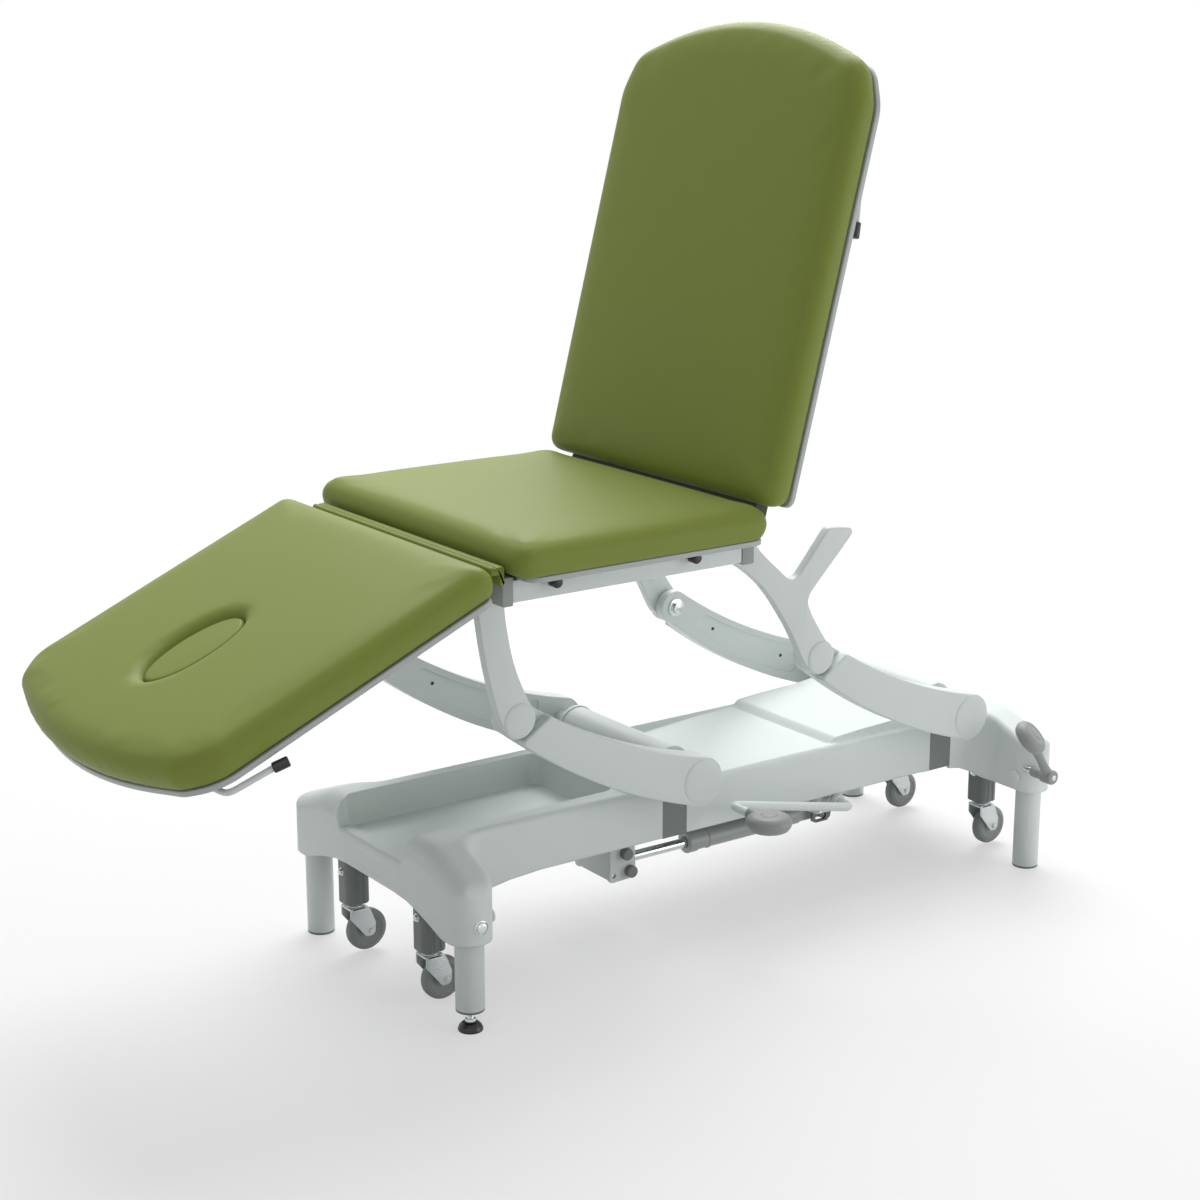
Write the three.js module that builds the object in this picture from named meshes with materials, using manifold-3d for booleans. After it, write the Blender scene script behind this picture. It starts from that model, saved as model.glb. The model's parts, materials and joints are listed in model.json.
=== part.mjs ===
// Height adjustable three-section treatment couch on a cast base with retracting castors.
// Lengths are millimetres. X runs from the foot end to the head end, Y across, Z up; the near side is -Y.
import * as THREE from "three";
import { mergeVertices } from "three/addons/utils/BufferGeometryUtils.js";
import Module from "manifold-3d";

const wasm = await Module();
wasm.setup();

// Fits and fineness
const FIT = 0.3; // between two pieces that touch
const RUNNING = 0.3; // round a turning pin
const SLIDING = 0.3; // round a sliding stem
const SUNK = 2; // how far a joined piece reaches into its neighbour
const CUT_PAST = 10; // how far a cutting tool reaches past what it cuts
const WELD = 1e-3;
const EDGE = 2; // small rounded edges
const FINE_EDGE = 1;
const EDGE_STEPS = 1;
const FEWEST_FACETS = 6;
const FACET_SHARE = 0.6; // facets of half a circle per root of its radius
const FINE = 1.1; // more facets, on the long curves that show
// Facets round a circle: more for a larger one, but fewer than in proportion.
const facets = (radius) =>
  Math.max(FEWEST_FACETS, 2 * Math.round(2 * FACET_SHARE * Math.sqrt(Math.abs(radius))));

// Lift: two pairs of equal arms between the base and the platform
const ARM_LENGTH = 408.3;
const ARM_ANGLE = THREE.MathUtils.degToRad(25.53);
const PIVOT_SPACING = 630.9;
const FOOT_PIVOT_X = -147.6;
const LOWER_PIVOT_Z = 320.5;
const HEAD_PIVOT_X = FOOT_PIVOT_X + PIVOT_SPACING;
const FOOT_UPPER_X = FOOT_PIVOT_X - ARM_LENGTH * Math.cos(ARM_ANGLE);
const UPPER_PIVOT_Z = LOWER_PIVOT_Z + ARM_LENGTH * Math.sin(ARM_ANGLE);
const ARM_INNER = 190;
const ARM_OUTER = 234;
const ARM_ROOT = 44; // radius of the lower end
const ARM_TIP = 31; // radius of the upper end
const ARM_BELLY = -58;
const ARM_WAIST = 17;
const ARM_EDGE = 3;
const TONGUE_OUTER = 211.7; // the arm's thinner upper end, beside the upright
const CAP_RADIUS = 39;
const CAP_RISE = 4.5;
const SHAFT_RADIUS = 20;
const SHAFT_END = 211;
const PIN_RADIUS = 12;
const FOOT_TUBE_RADIUS = 38;
const FOOT_TUBE_HALF = 146;
const HEAD_TUBE_RADIUS = 32;
const HEAD_TUBE_HALF = 142;

// Base cover: a long body with a tee at each end
const BODY_HALF = 157;
const TEE_OUTER = 668;
const TEE_WIDE = 77;
const TEE_INNER = TEE_OUTER - TEE_WIDE;
const TEE_HALF = 285;
const TEE_FILLET = 46;
const HOUSING_ROUND = 37;
const COVER_TOP = 297;
const COVER_WALL = 4;
const COVER_EDGE = 13;
const HOUSING_LIP = 157; // lower edge round the legs
const SIDE_LIP = 200; // lower edge along the body
const ARCH_LIP = 190; // lower edge across the ends

// Legs and castors
const LEG_INSET = 38;
const LEG_X = TEE_OUTER - LEG_INSET;
const LEG_SIDE_INSET = 35;
const LEG_Y = TEE_HALF - LEG_SIDE_INSET;
const LEG_RADIUS = 24.15;
const LEG_TOP = 240;
const SHORT_LEG = 35;
const CASTER_Y = 126;
const TRAIL = 22;
const WHEEL_RADIUS = 37.5;
const WHEEL_WIDTH = 24;
const WHEEL_CLEAR = 4; // the couch stands on its legs, its wheels just off the floor
const AXLE_Z = WHEEL_CLEAR + WHEEL_RADIUS;
const FORK_TOP = 91;
const SLEEVE_BOTTOM = 97;
const SLEEVE_TOP = 232;
const SLEEVE_WIDE = 46;
const SLEEVE_ROUND = 15;

// Chassis
const BEAM_BOTTOM = 203;
const BEAM_TOP = 236;
const EAR_INNER = 150;
const EAR_OUTER = 157.5;
const EAR_HALF = 26;

// Platform, in its own frame: origin on the axis of the arms' foot end upper pins
const UPRIGHT_INNER = 212;
const UPRIGHT_OUTER = 230;
const RAIL_INNER = UPRIGHT_OUTER + FIT;
const RAIL_OUTER = 270;
const RAIL_BOTTOM = 208.5;
const RAIL_TOP = 244.5;
// The rails' end caps, along X: from the foot pivots, and back from the head pivots
const FOOT_CAP = [-58, -38];
const HEAD_CAP = [212.9, 187.9].map((back) => PIVOT_SPACING - back);
const SECTION_HALF = 328; // half the width of the upholstery
const FOAM = 60; // thickness of every cushion
const PAD_ROLL = 32;
const PAD_TUCK = 8;
const PAD_CROWN = 4;
const SEAT_FOOT = -59;
const SEAT_SHORT = 188.9; // the seat ends this far before the head pivots
const SEAT_HEAD = PIVOT_SPACING - SEAT_SHORT;
const SEAT_CORNER = 32;
const SEAT_BOARD = 9.4;
const HINGE_RADIUS = 8;
const LUG_RADIUS = 11.2;

// Leg section and backrest, each laid out flat in its own frame: along, across, up from the
// underside of its board
const BOARD_DEPTH = 10;
const LEG_TILT = THREE.MathUtils.degToRad(23.7);
const LEG_HINGE = [-84, 245.5]; // in the platform's frame
const LEG_HINGE_ALONG = -20.3; // in the section's frame
const LEG_HINGE_UP = 9.6;
const LEG_START = -16.3;
const LEG_REACH = 611;
const LEG_NOSE = 99; // from the shoulders to the tip
const LEG_SHOULDER = LEG_REACH - LEG_NOSE;
const BACK_LEAN = THREE.MathUtils.degToRad(75.3);
const BACK_HINGE_SHORT = 166.9;
const BACK_HINGE = [PIVOT_SPACING - BACK_HINGE_SHORT, 252.2];
const BACK_HINGE_ALONG = -72.7;
const BACK_HINGE_UP = 8.2;
const BACK_START = -27.6;
const BACK_REACH = 775;
const BACK_NOSE = 131;
const BACK_SHOULDER = BACK_REACH - BACK_NOSE;

// Colours
const PAINT = 0xc9d2cc;
const DARK = 0x6c7370;
const MID = 0x7d8280;
const CHROME = 0xd4d8da;
const BLACK = 0x1c1d1e;
const VINYL = 0x93a55c;
const EDGING = 0xb9c0be;

const couch = new THREE.Group();
couch.name = "treatment_couch";
const legSection = new THREE.Group();
const backSection = new THREE.Group();
const platform = new THREE.Group();

function node(name, geometry, colour, group = couch) {
  const material = new THREE.MeshStandardMaterial({ color: colour, roughness: 0.5 });
  const mesh = new THREE.Mesh(geometry, material);
  mesh.name = name;
  group.add(mesh);
  return mesh;
}

// Solids and booleans
function bare(geometry) {
  const copy = geometry.index ? geometry.toNonIndexed() : geometry.clone();
  for (const name of Object.keys(copy.attributes)) {
    if (name !== "position") copy.deleteAttribute(name);
  }
  return mergeVertices(copy, WELD);
}

function toSolid(geometry) {
  const merged = bare(geometry);
  const mesh = new wasm.Mesh({
    numProp: 3,
    vertProperties: merged.attributes.position.array,
    triVerts: new Uint32Array(merged.index.array),
  });
  return new wasm.Manifold(mesh);
}

function toGeometry(solid) {
  const mesh = solid.getMesh();
  const geometry = new THREE.BufferGeometry();
  const positions = new Float32Array(mesh.vertProperties);
  geometry.setAttribute("position", new THREE.BufferAttribute(positions, 3));
  geometry.setIndex(new THREE.BufferAttribute(new Uint32Array(mesh.triVerts), 1));
  geometry.computeVertexNormals();
  return geometry;
}

function join(first, ...others) {
  return toGeometry(others.reduce((sum, g) => sum.add(toSolid(g)), toSolid(first)));
}

function cut(first, ...tools) {
  return toGeometry(tools.reduce((rest, g) => rest.subtract(toSolid(g)), toSolid(first)));
}

function common(first, ...others) {
  return toGeometry(others.reduce((part, g) => part.intersect(toSolid(g)), toSolid(first)));
}

// Turns the faces round when a surface of revolution came out facing in.
function outward(geometry) {
  const solid = bare(geometry);
  const p = solid.attributes.position;
  const index = solid.index.array;
  const a = new THREE.Vector3();
  const b = new THREE.Vector3();
  const c = new THREE.Vector3();
  let volume = 0;
  for (let i = 0; i < index.length; i += 3) {
    a.fromBufferAttribute(p, index[i]);
    b.fromBufferAttribute(p, index[i + 1]);
    c.fromBufferAttribute(p, index[i + 2]);
    volume += a.dot(b.cross(c));
  }
  if (volume < 0) {
    for (let i = 0; i < index.length; i += 3) {
      [index[i + 1], index[i + 2]] = [index[i + 2], index[i + 1]];
    }
  }
  solid.computeVertexNormals();
  return solid;
}

// Outlines
// A closed outline from corners [x, y, radius], each corner rounded by a true arc.
function rounded(corners, fineness = 1) {
  const points = [];
  corners.forEach(([x, y, radius = 0], i) => {
    const before = corners[(i + corners.length - 1) % corners.length];
    const after = corners[(i + 1) % corners.length];
    const corner = new THREE.Vector2(x, y);
    if (radius <= 0) {
      points.push([x, y]);
      return;
    }
    const back = new THREE.Vector2(before[0], before[1]).sub(corner).normalize();
    const on = new THREE.Vector2(after[0], after[1]).sub(corner).normalize();
    const half = Math.acos(THREE.MathUtils.clamp(back.dot(on), -1, 1)) / 2;
    const reach = radius / Math.tan(half);
    const centre = corner
      .clone()
      .addScaledVector(back.clone().add(on).normalize(), radius / Math.sin(half));
    const start = corner.clone().addScaledVector(back, reach).sub(centre);
    const end = corner.clone().addScaledVector(on, reach).sub(centre);
    const turn = Math.atan2(start.cross(end), start.dot(end));
    const count = Math.max(1, Math.round((Math.abs(turn) / (2 * Math.PI)) * facets(radius) * fineness));
    for (let k = 0; k <= count; k++) {
      const spoke = start.clone().rotateAround(new THREE.Vector2(), (turn * k) / count);
      points.push([centre.x + spoke.x, centre.y + spoke.y]);
    }
  });
  return points;
}

function rectangle(x0, x1, y0, y1, radius = 0) {
  const corners = [
    [x0, y0, radius],
    [x1, y0, radius],
    [x1, y1, radius],
    [x0, y1, radius],
  ];
  return rounded(corners);
}

// Points of the circle arc round a centre, from one angle to another.
function arc(x, y, radius, from, to, fineness = 1) {
  const count = Math.max(1, Math.round((Math.abs(to - from) / (2 * Math.PI)) * facets(radius) * fineness));
  return Array.from({ length: count + 1 }, (_, k) => {
    const angle = from + ((to - from) * k) / count;
    return [x + radius * Math.cos(angle), y + radius * Math.sin(angle)];
  });
}

function circle(x, y, radius, sides = facets(radius)) {
  return Array.from({ length: sides }, (_, k) => {
    const angle = (2 * Math.PI * k) / sides;
    return [x + radius * Math.cos(angle), y + radius * Math.sin(angle)];
  });
}

// Points of the circle through three points, from the first to the last.
function arcThrough(a, b, c, count) {
  const d = 2 * (a[0] * (b[1] - c[1]) + b[0] * (c[1] - a[1]) + c[0] * (a[1] - b[1]));
  const [sa, sb, sc] = [a, b, c].map(([x, y]) => x * x + y * y);
  const x = (sa * (b[1] - c[1]) + sb * (c[1] - a[1]) + sc * (a[1] - b[1])) / d;
  const y = (sa * (c[0] - b[0]) + sb * (a[0] - c[0]) + sc * (b[0] - a[0])) / d;
  const radius = Math.hypot(a[0] - x, a[1] - y);
  const from = Math.atan2(a[1] - y, a[0] - x);
  let to = Math.atan2(c[1] - y, c[0] - x);
  if (to - from > Math.PI) to -= 2 * Math.PI;
  if (from - to > Math.PI) to += 2 * Math.PI;
  return Array.from({ length: count + 1 }, (_, k) => {
    const angle = from + ((to - from) * k) / count;
    return [x + radius * Math.cos(angle), y + radius * Math.sin(angle)];
  });
}

// Plates: an outline given thickness, its edges rounded
function plate(outline, thickness, edge, steps = EDGE_STEPS) {
  const shape = new THREE.Shape(outline.map(([x, y]) => new THREE.Vector2(x, y)));
  const options = {
    depth: thickness - 2 * edge,
    bevelEnabled: edge > 0,
    bevelThickness: edge,
    bevelSize: edge,
    bevelOffset: -edge,
    bevelSegments: steps,
  };
  return new THREE.ExtrudeGeometry(shape, options).translate(0, 0, edge);
}

const plateXY = (outline, z0, z1, edge = 0, steps) =>
  plate(outline, z1 - z0, edge, steps).translate(0, 0, z0);

const plateXZ = (outline, y0, y1, edge = 0, steps) =>
  plate(outline, y1 - y0, edge, steps).rotateX(Math.PI / 2).translate(0, y1, 0);

const ACROSS = new THREE.Matrix4().makeBasis(
  new THREE.Vector3(0, 1, 0),
  new THREE.Vector3(0, 0, 1),
  new THREE.Vector3(1, 0, 0),
);
const plateYZ = (outline, x0, x1, edge = 0, steps) =>
  plate(outline, x1 - x0, edge, steps).applyMatrix4(ACROSS).translate(x0, 0, 0);

// The same plate on the near side (-1) or the far side (+1), between two distances from the middle.
function sidePlate(outline, inner, outer, side, edge = 0, steps) {
  const [y0, y1] = side > 0 ? [inner, outer] : [-outer, -inner];
  return plateXZ(outline, y0, y1, edge, steps);
}

const CORNER_SHARE = 1.6; // upright corner radius of a block, as a share of its edge rounding
const block = (x0, x1, y0, y1, z0, z1, edge = 0) =>
  plateXY(rectangle(x0, x1, y0, y1, edge * CORNER_SHARE), z0, z1, edge, 1);

// Turned pieces: a profile of [radius, height] pairs round an axis
function turned(profile, axis, origin, sides, flip = false) {
  const points = profile.map(([r, h]) => new THREE.Vector2(r, flip ? -h : h));
  const closed = [...points, points[0].clone()];
  const geometry = outward(new THREE.LatheGeometry(closed, sides));
  if (axis === "z") geometry.rotateX(Math.PI / 2);
  if (axis === "x") geometry.rotateZ(-Math.PI / 2);
  return geometry.translate(...origin);
}

// A plain round bar between two heights along an axis, its ends chamfered.
function bar(radius, from, to, axis, origin, chamfer = 0, sides = facets(radius)) {
  const profile = [
    [0, from],
    [radius - chamfer, from],
    [radius, from + chamfer],
    [radius, to - chamfer],
    [radius - chamfer, to],
    [0, to],
  ];
  return turned(chamfer > 0 ? profile : [profile[0], [radius, from], [radius, to], profile[5]],
    axis, origin, sides);
}

// The tool for a round hole: its flats, not its corners, lie at the given radius.
function bore(radius, from, to, axis, origin, sides = facets(radius)) {
  return bar(radius / Math.cos(Math.PI / sides), from, to, axis, origin, 0, sides);
}

// A bar on one side only: inner and outer are distances from the middle plane.
function sideBar(radius, inner, outer, side, x, z, chamfer = 0, sides = facets(radius)) {
  const [from, to] = side > 0 ? [inner, outer] : [-outer, -inner];
  return bar(radius, from, to, "y", [x, 0, z], chamfer, sides);
}

function sideBore(radius, inner, outer, side, x, z) {
  const [from, to] = side > 0 ? [inner, outer] : [-outer, -inner];
  return bore(radius, from, to, "y", [x, 0, z]);
}

// A path of straight runs with round bends, sampled point by point.
class BentPath extends THREE.Curve {
  constructor(corners, bend) {
    super();
    const v = corners.map((c) => new THREE.Vector3(...c));
    this.stops = [v[0]];
    for (let i = 1; i < v.length - 1; i++) {
      const back = v[i - 1].clone().sub(v[i]);
      const on = v[i + 1].clone().sub(v[i]);
      const reach = Math.min(bend, back.length() / 2, on.length() / 2);
      const a = v[i].clone().addScaledVector(back.normalize(), reach);
      const b = v[i].clone().addScaledVector(on.normalize(), reach);
      const curve = new THREE.QuadraticBezierCurve3(a, v[i], b);
      this.stops.push(...curve.getPoints(BentPath.bendSteps));
    }
    this.stops.push(v[v.length - 1]);
  }
  get count() {
    return this.stops.length - 1;
  }
  getPointAt(share) {
    const at = share * this.count;
    const i = Math.min(Math.floor(at), this.count - 1);
    return this.stops[i].clone().lerp(this.stops[i + 1], at - i);
  }
  getPoint(share) {
    return this.getPointAt(share);
  }
  getTangentAt(share) {
    const i = Math.round(share * this.count);
    const before = this.stops[Math.max(i - 1, 0)];
    const after = this.stops[Math.min(i + 1, this.count)];
    return after.clone().sub(before).normalize();
  }
  getTangent(share) {
    return this.getTangentAt(share);
  }
}
BentPath.bendSteps = 4;

function rod(corners, radius, bend, sides = facets(radius)) {
  const path = new BentPath(corners, bend);
  const shape = new THREE.Shape(circle(0, 0, radius, sides).map(([x, y]) => new THREE.Vector2(x, y)));
  const geometry = new THREE.ExtrudeGeometry(shape, {
    steps: path.count,
    bevelEnabled: false,
    extrudePath: path,
  });
  return outward(geometry);
}

// A padded cushion: rings of its plan outline, drawn in at the board, bulging at the side,
// rolled over the top edge and rising to a crown.
const CUSHION_LOW_RINGS = [
  [1, 0],
  [0.3, 0.13],
]; // share of the drawn-in depth, share of the thickness
const ROLL_STEPS = 4;
const CROWN_SHARES = [0.75, 0.4];

function cushion(outline, bottom, top, roll, drawIn, crown) {
  const xs = outline.map((p) => p[0]);
  const ys = outline.map((p) => p[1]);
  const middle = [(Math.max(...xs) + Math.min(...xs)) / 2, (Math.max(...ys) + Math.min(...ys)) / 2];
  const reach = [(Math.max(...xs) - Math.min(...xs)) / 2, (Math.max(...ys) - Math.min(...ys)) / 2];
  const rim = top - crown;
  const rings = CUSHION_LOW_RINGS.map(([inset, rise]) => [drawIn * inset, bottom + (rim - bottom) * rise]);
  for (let k = 0; k <= ROLL_STEPS; k++) {
    const angle = (k / ROLL_STEPS) * (Math.PI / 2);
    rings.push([roll * (1 - Math.cos(angle)), rim - roll + roll * Math.sin(angle)]);
  }
  const positions = [];
  const ring = (scaleX, scaleY, z) =>
    outline.forEach(([x, y]) =>
      positions.push(middle[0] + (x - middle[0]) * scaleX, middle[1] + (y - middle[1]) * scaleY, z),
    );
  rings.forEach(([inset, z]) => ring(1 - inset / reach[0], 1 - inset / reach[1], z));
  const last = [1 - roll / reach[0], 1 - roll / reach[1]];
  CROWN_SHARES.forEach((share) =>
    ring(last[0] * share, last[1] * share, top - crown * share * share),
  );
  const count = outline.length;
  const levels = rings.length + CROWN_SHARES.length;
  positions.push(middle[0], middle[1], bottom, middle[0], middle[1], top);
  const under = count * levels;
  const index = [];
  for (let i = 0; i < count; i++) {
    const j = (i + 1) % count;
    for (let k = 0; k < levels - 1; k++) {
      const [a, b] = [k * count + i, k * count + j];
      index.push(a, b, b + count, a, b + count, a + count);
    }
    index.push(j, i, under);
    index.push((levels - 1) * count + i, (levels - 1) * count + j, under + 1);
  }
  const geometry = new THREE.BufferGeometry();
  geometry.setAttribute("position", new THREE.Float32BufferAttribute(positions, 3));
  geometry.setIndex(index);
  return outward(geometry);
}

// Base cover
function coverPlan(inset) {
  const outer = TEE_OUTER - inset;
  const inner = TEE_INNER + inset;
  const half = TEE_HALF - inset;
  const body = BODY_HALF - inset;
  const round = HOUSING_ROUND - inset;
  const fillet = TEE_FILLET + inset;
  const quarter = [
    [outer, half, round],
    [inner, half, round],
    [inner, body, fillet],
  ];
  const far = [...quarter, ...quarter.toReversed().map(([x, y, r]) => [-x, y, r])];
  return rounded([...far, ...far.toReversed().map(([x, y, r]) => [x, -y, r])], FINE);
}

const ROOM = 40; // space left round a rough block before it is cut to shape
const COVER_LOW = HOUSING_LIP - ROOM; // below every lower edge, cut away afterwards
const PAST = 0.1; // an intersecting outline lies this far outside a flat face it must not touch
const TEE_DROP = 44; // fall of the tee's top from the body to its outer end
const TEE_CREST = 168;
const SHOULDER_ROUND = 30;
const CREST_ROUND = 60;
const END_ROUND = 34;
function coverBlock(inset) {
  const top = COVER_TOP - inset;
  const plan = plateXY(coverPlan(inset), COVER_LOW, top, COVER_EDGE - inset, 2);
  const half = TEE_HALF - inset + PAST;
  const low = COVER_LOW - PAST;
  const end = TEE_OUTER - inset + PAST;
  const acrossCorners = [
    [-half, low],
    [half, low],
    [half, top - TEE_DROP, SHOULDER_ROUND],
    [TEE_CREST, top + PAST, CREST_ROUND],
    [-TEE_CREST, top + PAST, CREST_ROUND],
    [-half, top - TEE_DROP, SHOULDER_ROUND],
  ];
  const across = plateYZ(rounded(acrossCorners, FINE), -end, end);
  const alongCorners = [
    [-end, low],
    [end, low],
    [end, top + PAST, END_ROUND],
    [-end, top + PAST, END_ROUND],
  ];
  const along = plateXZ(rounded(alongCorners, FINE), -half, half);
  return common(plan, across, along);
}

// The tray at the foot end, open towards the foot
const ABOVE = COVER_TOP + 2 * ROOM; // above the whole cover
const TRAY_DEPTH = 55;
const TRAY_FLOOR = COVER_TOP - TRAY_DEPTH;
const TRAY_HALF = 120;
const TRAY_RIM = 16;
const TRAY_FOOT = -TEE_OUTER + TRAY_RIM;
const TRAY_HEAD = -250;
const TRAY_CORNER = 24;
const TRAY_ROUND = 8;
const MOUTH_STEP = 7;
const TRAY_LIP = TRAY_FLOOR + MOUTH_STEP;
const TRAY_MOUTH = 104;
const MOUTH_FLARE = 34;
const MOUTH_CORNER = 10;
const MOUTH_DEPTH = 30;
function trayBlock(grow) {
  const half = TRAY_HALF + grow;
  const pocket = plateXY(
    rectangle(TRAY_FOOT - grow, TRAY_HEAD + grow, -half, half, TRAY_CORNER + grow),
    TRAY_FLOOR - grow,
    ABOVE,
    TRAY_ROUND,
  );
  const mouthHalf = TRAY_MOUTH + grow;
  const mouth = plateYZ(
    rounded([
      [-mouthHalf, TRAY_LIP - grow, MOUTH_CORNER],
      [mouthHalf, TRAY_LIP - grow, MOUTH_CORNER],
      [mouthHalf + MOUTH_FLARE, ABOVE],
      [-mouthHalf - MOUTH_FLARE, ABOVE],
    ]),
    -TEE_OUTER - CUT_PAST,
    TRAY_FOOT + MOUTH_DEPTH,
  );
  return join(pocket, mouth);
}

// The shallow dish under the foot torque tube and the hump over the head one, along X and up
const DISH_RIM = 9;
const DISH_HALF = BODY_HALF - DISH_RIM;
const DISH_LINE = [
  [-246, 289],
  [-215, 277],
  [-180, 272.5],
  [-147, 271],
  [-110, 272],
  [-60, 276],
  [20, 282.5],
  [120, 288.5],
  [224, 292],
];
function dishBlock(grow) {
  const line = DISH_LINE.map(([x, z]) => [x, z - grow]);
  const outline = [...line, [DISH_LINE.at(-1)[0], ABOVE], [DISH_LINE[0][0], ABOVE]];
  return plateXZ(outline, -DISH_HALF - grow, DISH_HALF + grow);
}

const HUMP_LINE = [
  [550, 296],
  [538, 306],
  [527, 324],
  [515, 345],
  [502, 359],
  [484, 366],
  [468, 361],
  [453, 345],
  [438, 327],
  [422, 317],
  [373, 311.5],
  [292, 309],
  [232, 305.5],
  [226, 302],
];
const HUMP_SUNK = 27;
function humpBlock(inset) {
  const line = HUMP_LINE.map(([x, z]) => [x, z - inset]);
  const low = COVER_TOP - HUMP_SUNK;
  const outline = [...line, [HUMP_LINE.at(-1)[0], low], [HUMP_LINE[0][0], low]];
  const edge = (COVER_EDGE - inset) / 2;
  return plateXZ(outline, -DISH_HALF + inset, DISH_HALF - inset, edge);
}

const CRANK_SLOT = [-236, -70]; // the crank passes down here
const CRANK_SLOT_HALF = 62;
const CRANK_SLOT_ROUND = 14;
const HOUSING_REACH = 64; // the lower edge keeps low this far in from the tee's end
const SIDE_SWEEP = [
  [86, 164],
  [108, 178],
  [133, 189],
  [178, 196],
  [238, SIDE_LIP],
]; // then it rises: distance from the tee's end, height
const ARCH_HALF = 226;
const ARCH_SWEEP = [
  [200, 166],
  [160, 178],
  [120, 187],
  [80, ARCH_LIP],
];
const ARCH_DEPTH = 68;
const PEDAL_INSET = 66;
const PEDAL_X = TEE_OUTER - PEDAL_INSET;
const PEDAL_Z = 206;
const PEDAL_SHAFT = 8;
const PEDAL_SLACK = 1;
const SHAFT_SLACK = 4;
const RECESS_HALF = 76;
const RECESS = [200, 232];
const RECESS_ROUND = 6;
const RECESS_DEPTH = 1.2;
const SIDES = [-1, 1];
const PIVOTS = [FOOT_PIVOT_X, HEAD_PIVOT_X];
{
  const outer = join(coverBlock(0), humpBlock(0));
  const inner = cut(coverBlock(COVER_WALL), trayBlock(COVER_WALL), dishBlock(COVER_WALL));
  const hollow = join(inner, cut(humpBlock(COVER_WALL), dishBlock(COVER_WALL)));
  const low = COVER_LOW - CUT_PAST;
  const end = TEE_OUTER + CUT_PAST;
  const sideEdge = [
    [end, low],
    [end, HOUSING_LIP],
    [TEE_OUTER - HOUSING_REACH, HOUSING_LIP],
    ...SIDE_SWEEP.map(([inwards, z]) => [TEE_OUTER - inwards, z]),
  ];
  const lowerEdge = [...sideEdge, ...sideEdge.toReversed().map(([x, z]) => [-x, z])];
  const under = plateXZ(lowerEdge, -TEE_HALF - CUT_PAST, TEE_HALF + CUT_PAST);
  const archEdge = [[ARCH_HALF, low], [ARCH_HALF, HOUSING_LIP], ...ARCH_SWEEP];
  const arch = [...archEdge, ...archEdge.toReversed().map(([y, z]) => [-y, z])];
  const ends = SIDES.map((side) =>
    plateYZ(arch, side > 0 ? end - CUT_PAST - ARCH_DEPTH : -end, side > 0 ? end : -TEE_OUTER + ARCH_DEPTH),
  );
  const earGap = EAR_HALF + FIT;
  const notches = PIVOTS.flatMap((x) =>
    SIDES.map((side) =>
      sidePlate(
        rectangle(x - earGap, x + earGap, COVER_LOW, ABOVE),
        EAR_INNER - FIT,
        BODY_HALF + CUT_PAST,
        side,
      ),
    ),
  );
  const slot = plateXY(
    rectangle(...CRANK_SLOT, -CRANK_SLOT_HALF, CRANK_SLOT_HALF, CRANK_SLOT_ROUND),
    TRAY_FLOOR,
    ABOVE,
  );
  const pedalHole = bore(
    PEDAL_SHAFT + PEDAL_SLACK,
    -TEE_HALF - CUT_PAST,
    -TEE_HALF + HOUSING_ROUND,
    "y",
    [PEDAL_X, 0, PEDAL_Z],
  );
  const shaftHoles = PIVOTS.flatMap((x) =>
    SIDES.map((side) =>
      sideBore(
        SHAFT_RADIUS + SHAFT_SLACK,
        DISH_HALF - COVER_WALL - CUT_PAST,
        BODY_HALF + CUT_PAST,
        side,
        x,
        LOWER_PIVOT_Z,
      ),
    ),
  );
  const recess = plateYZ(
    rectangle(-RECESS_HALF, RECESS_HALF, ...RECESS, RECESS_ROUND),
    -TEE_OUTER - CUT_PAST,
    -TEE_OUTER + RECESS_DEPTH,
  );
  const tools = [trayBlock(0), dishBlock(0), under, ...ends, ...notches, slot, pedalHole, recess];
  node("base_cover", cut(outer, hollow, ...tools, ...shaftHoles), PAINT);
}

// Chassis: two rails and two end beams, with ears for the torque tubes and a fork for the ram
const RAIL_WALL = 22;
const BEAM_HALF = 31;
const BEAM_INSET = 9;
const BEAM_REACH = TEE_HALF - BEAM_INSET;
const BEAM_ROUND = 28;
const BRIDGES = [-420, 20, 340];
const BRIDGE_WIDE = 40;
const BRIDGE_HALF = 140;
const BRIDGE_SUNK = 2;
const EAR_RISE = 4;
const EAR_BOTTOM = BEAM_BOTTOM - EAR_RISE;
const RAM_PIN_X = 300;
const CRANK_PIN = [-170, 107]; // the crank's lower pin, along X and up
const FORK_CHEEK = [22, 30];
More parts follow.
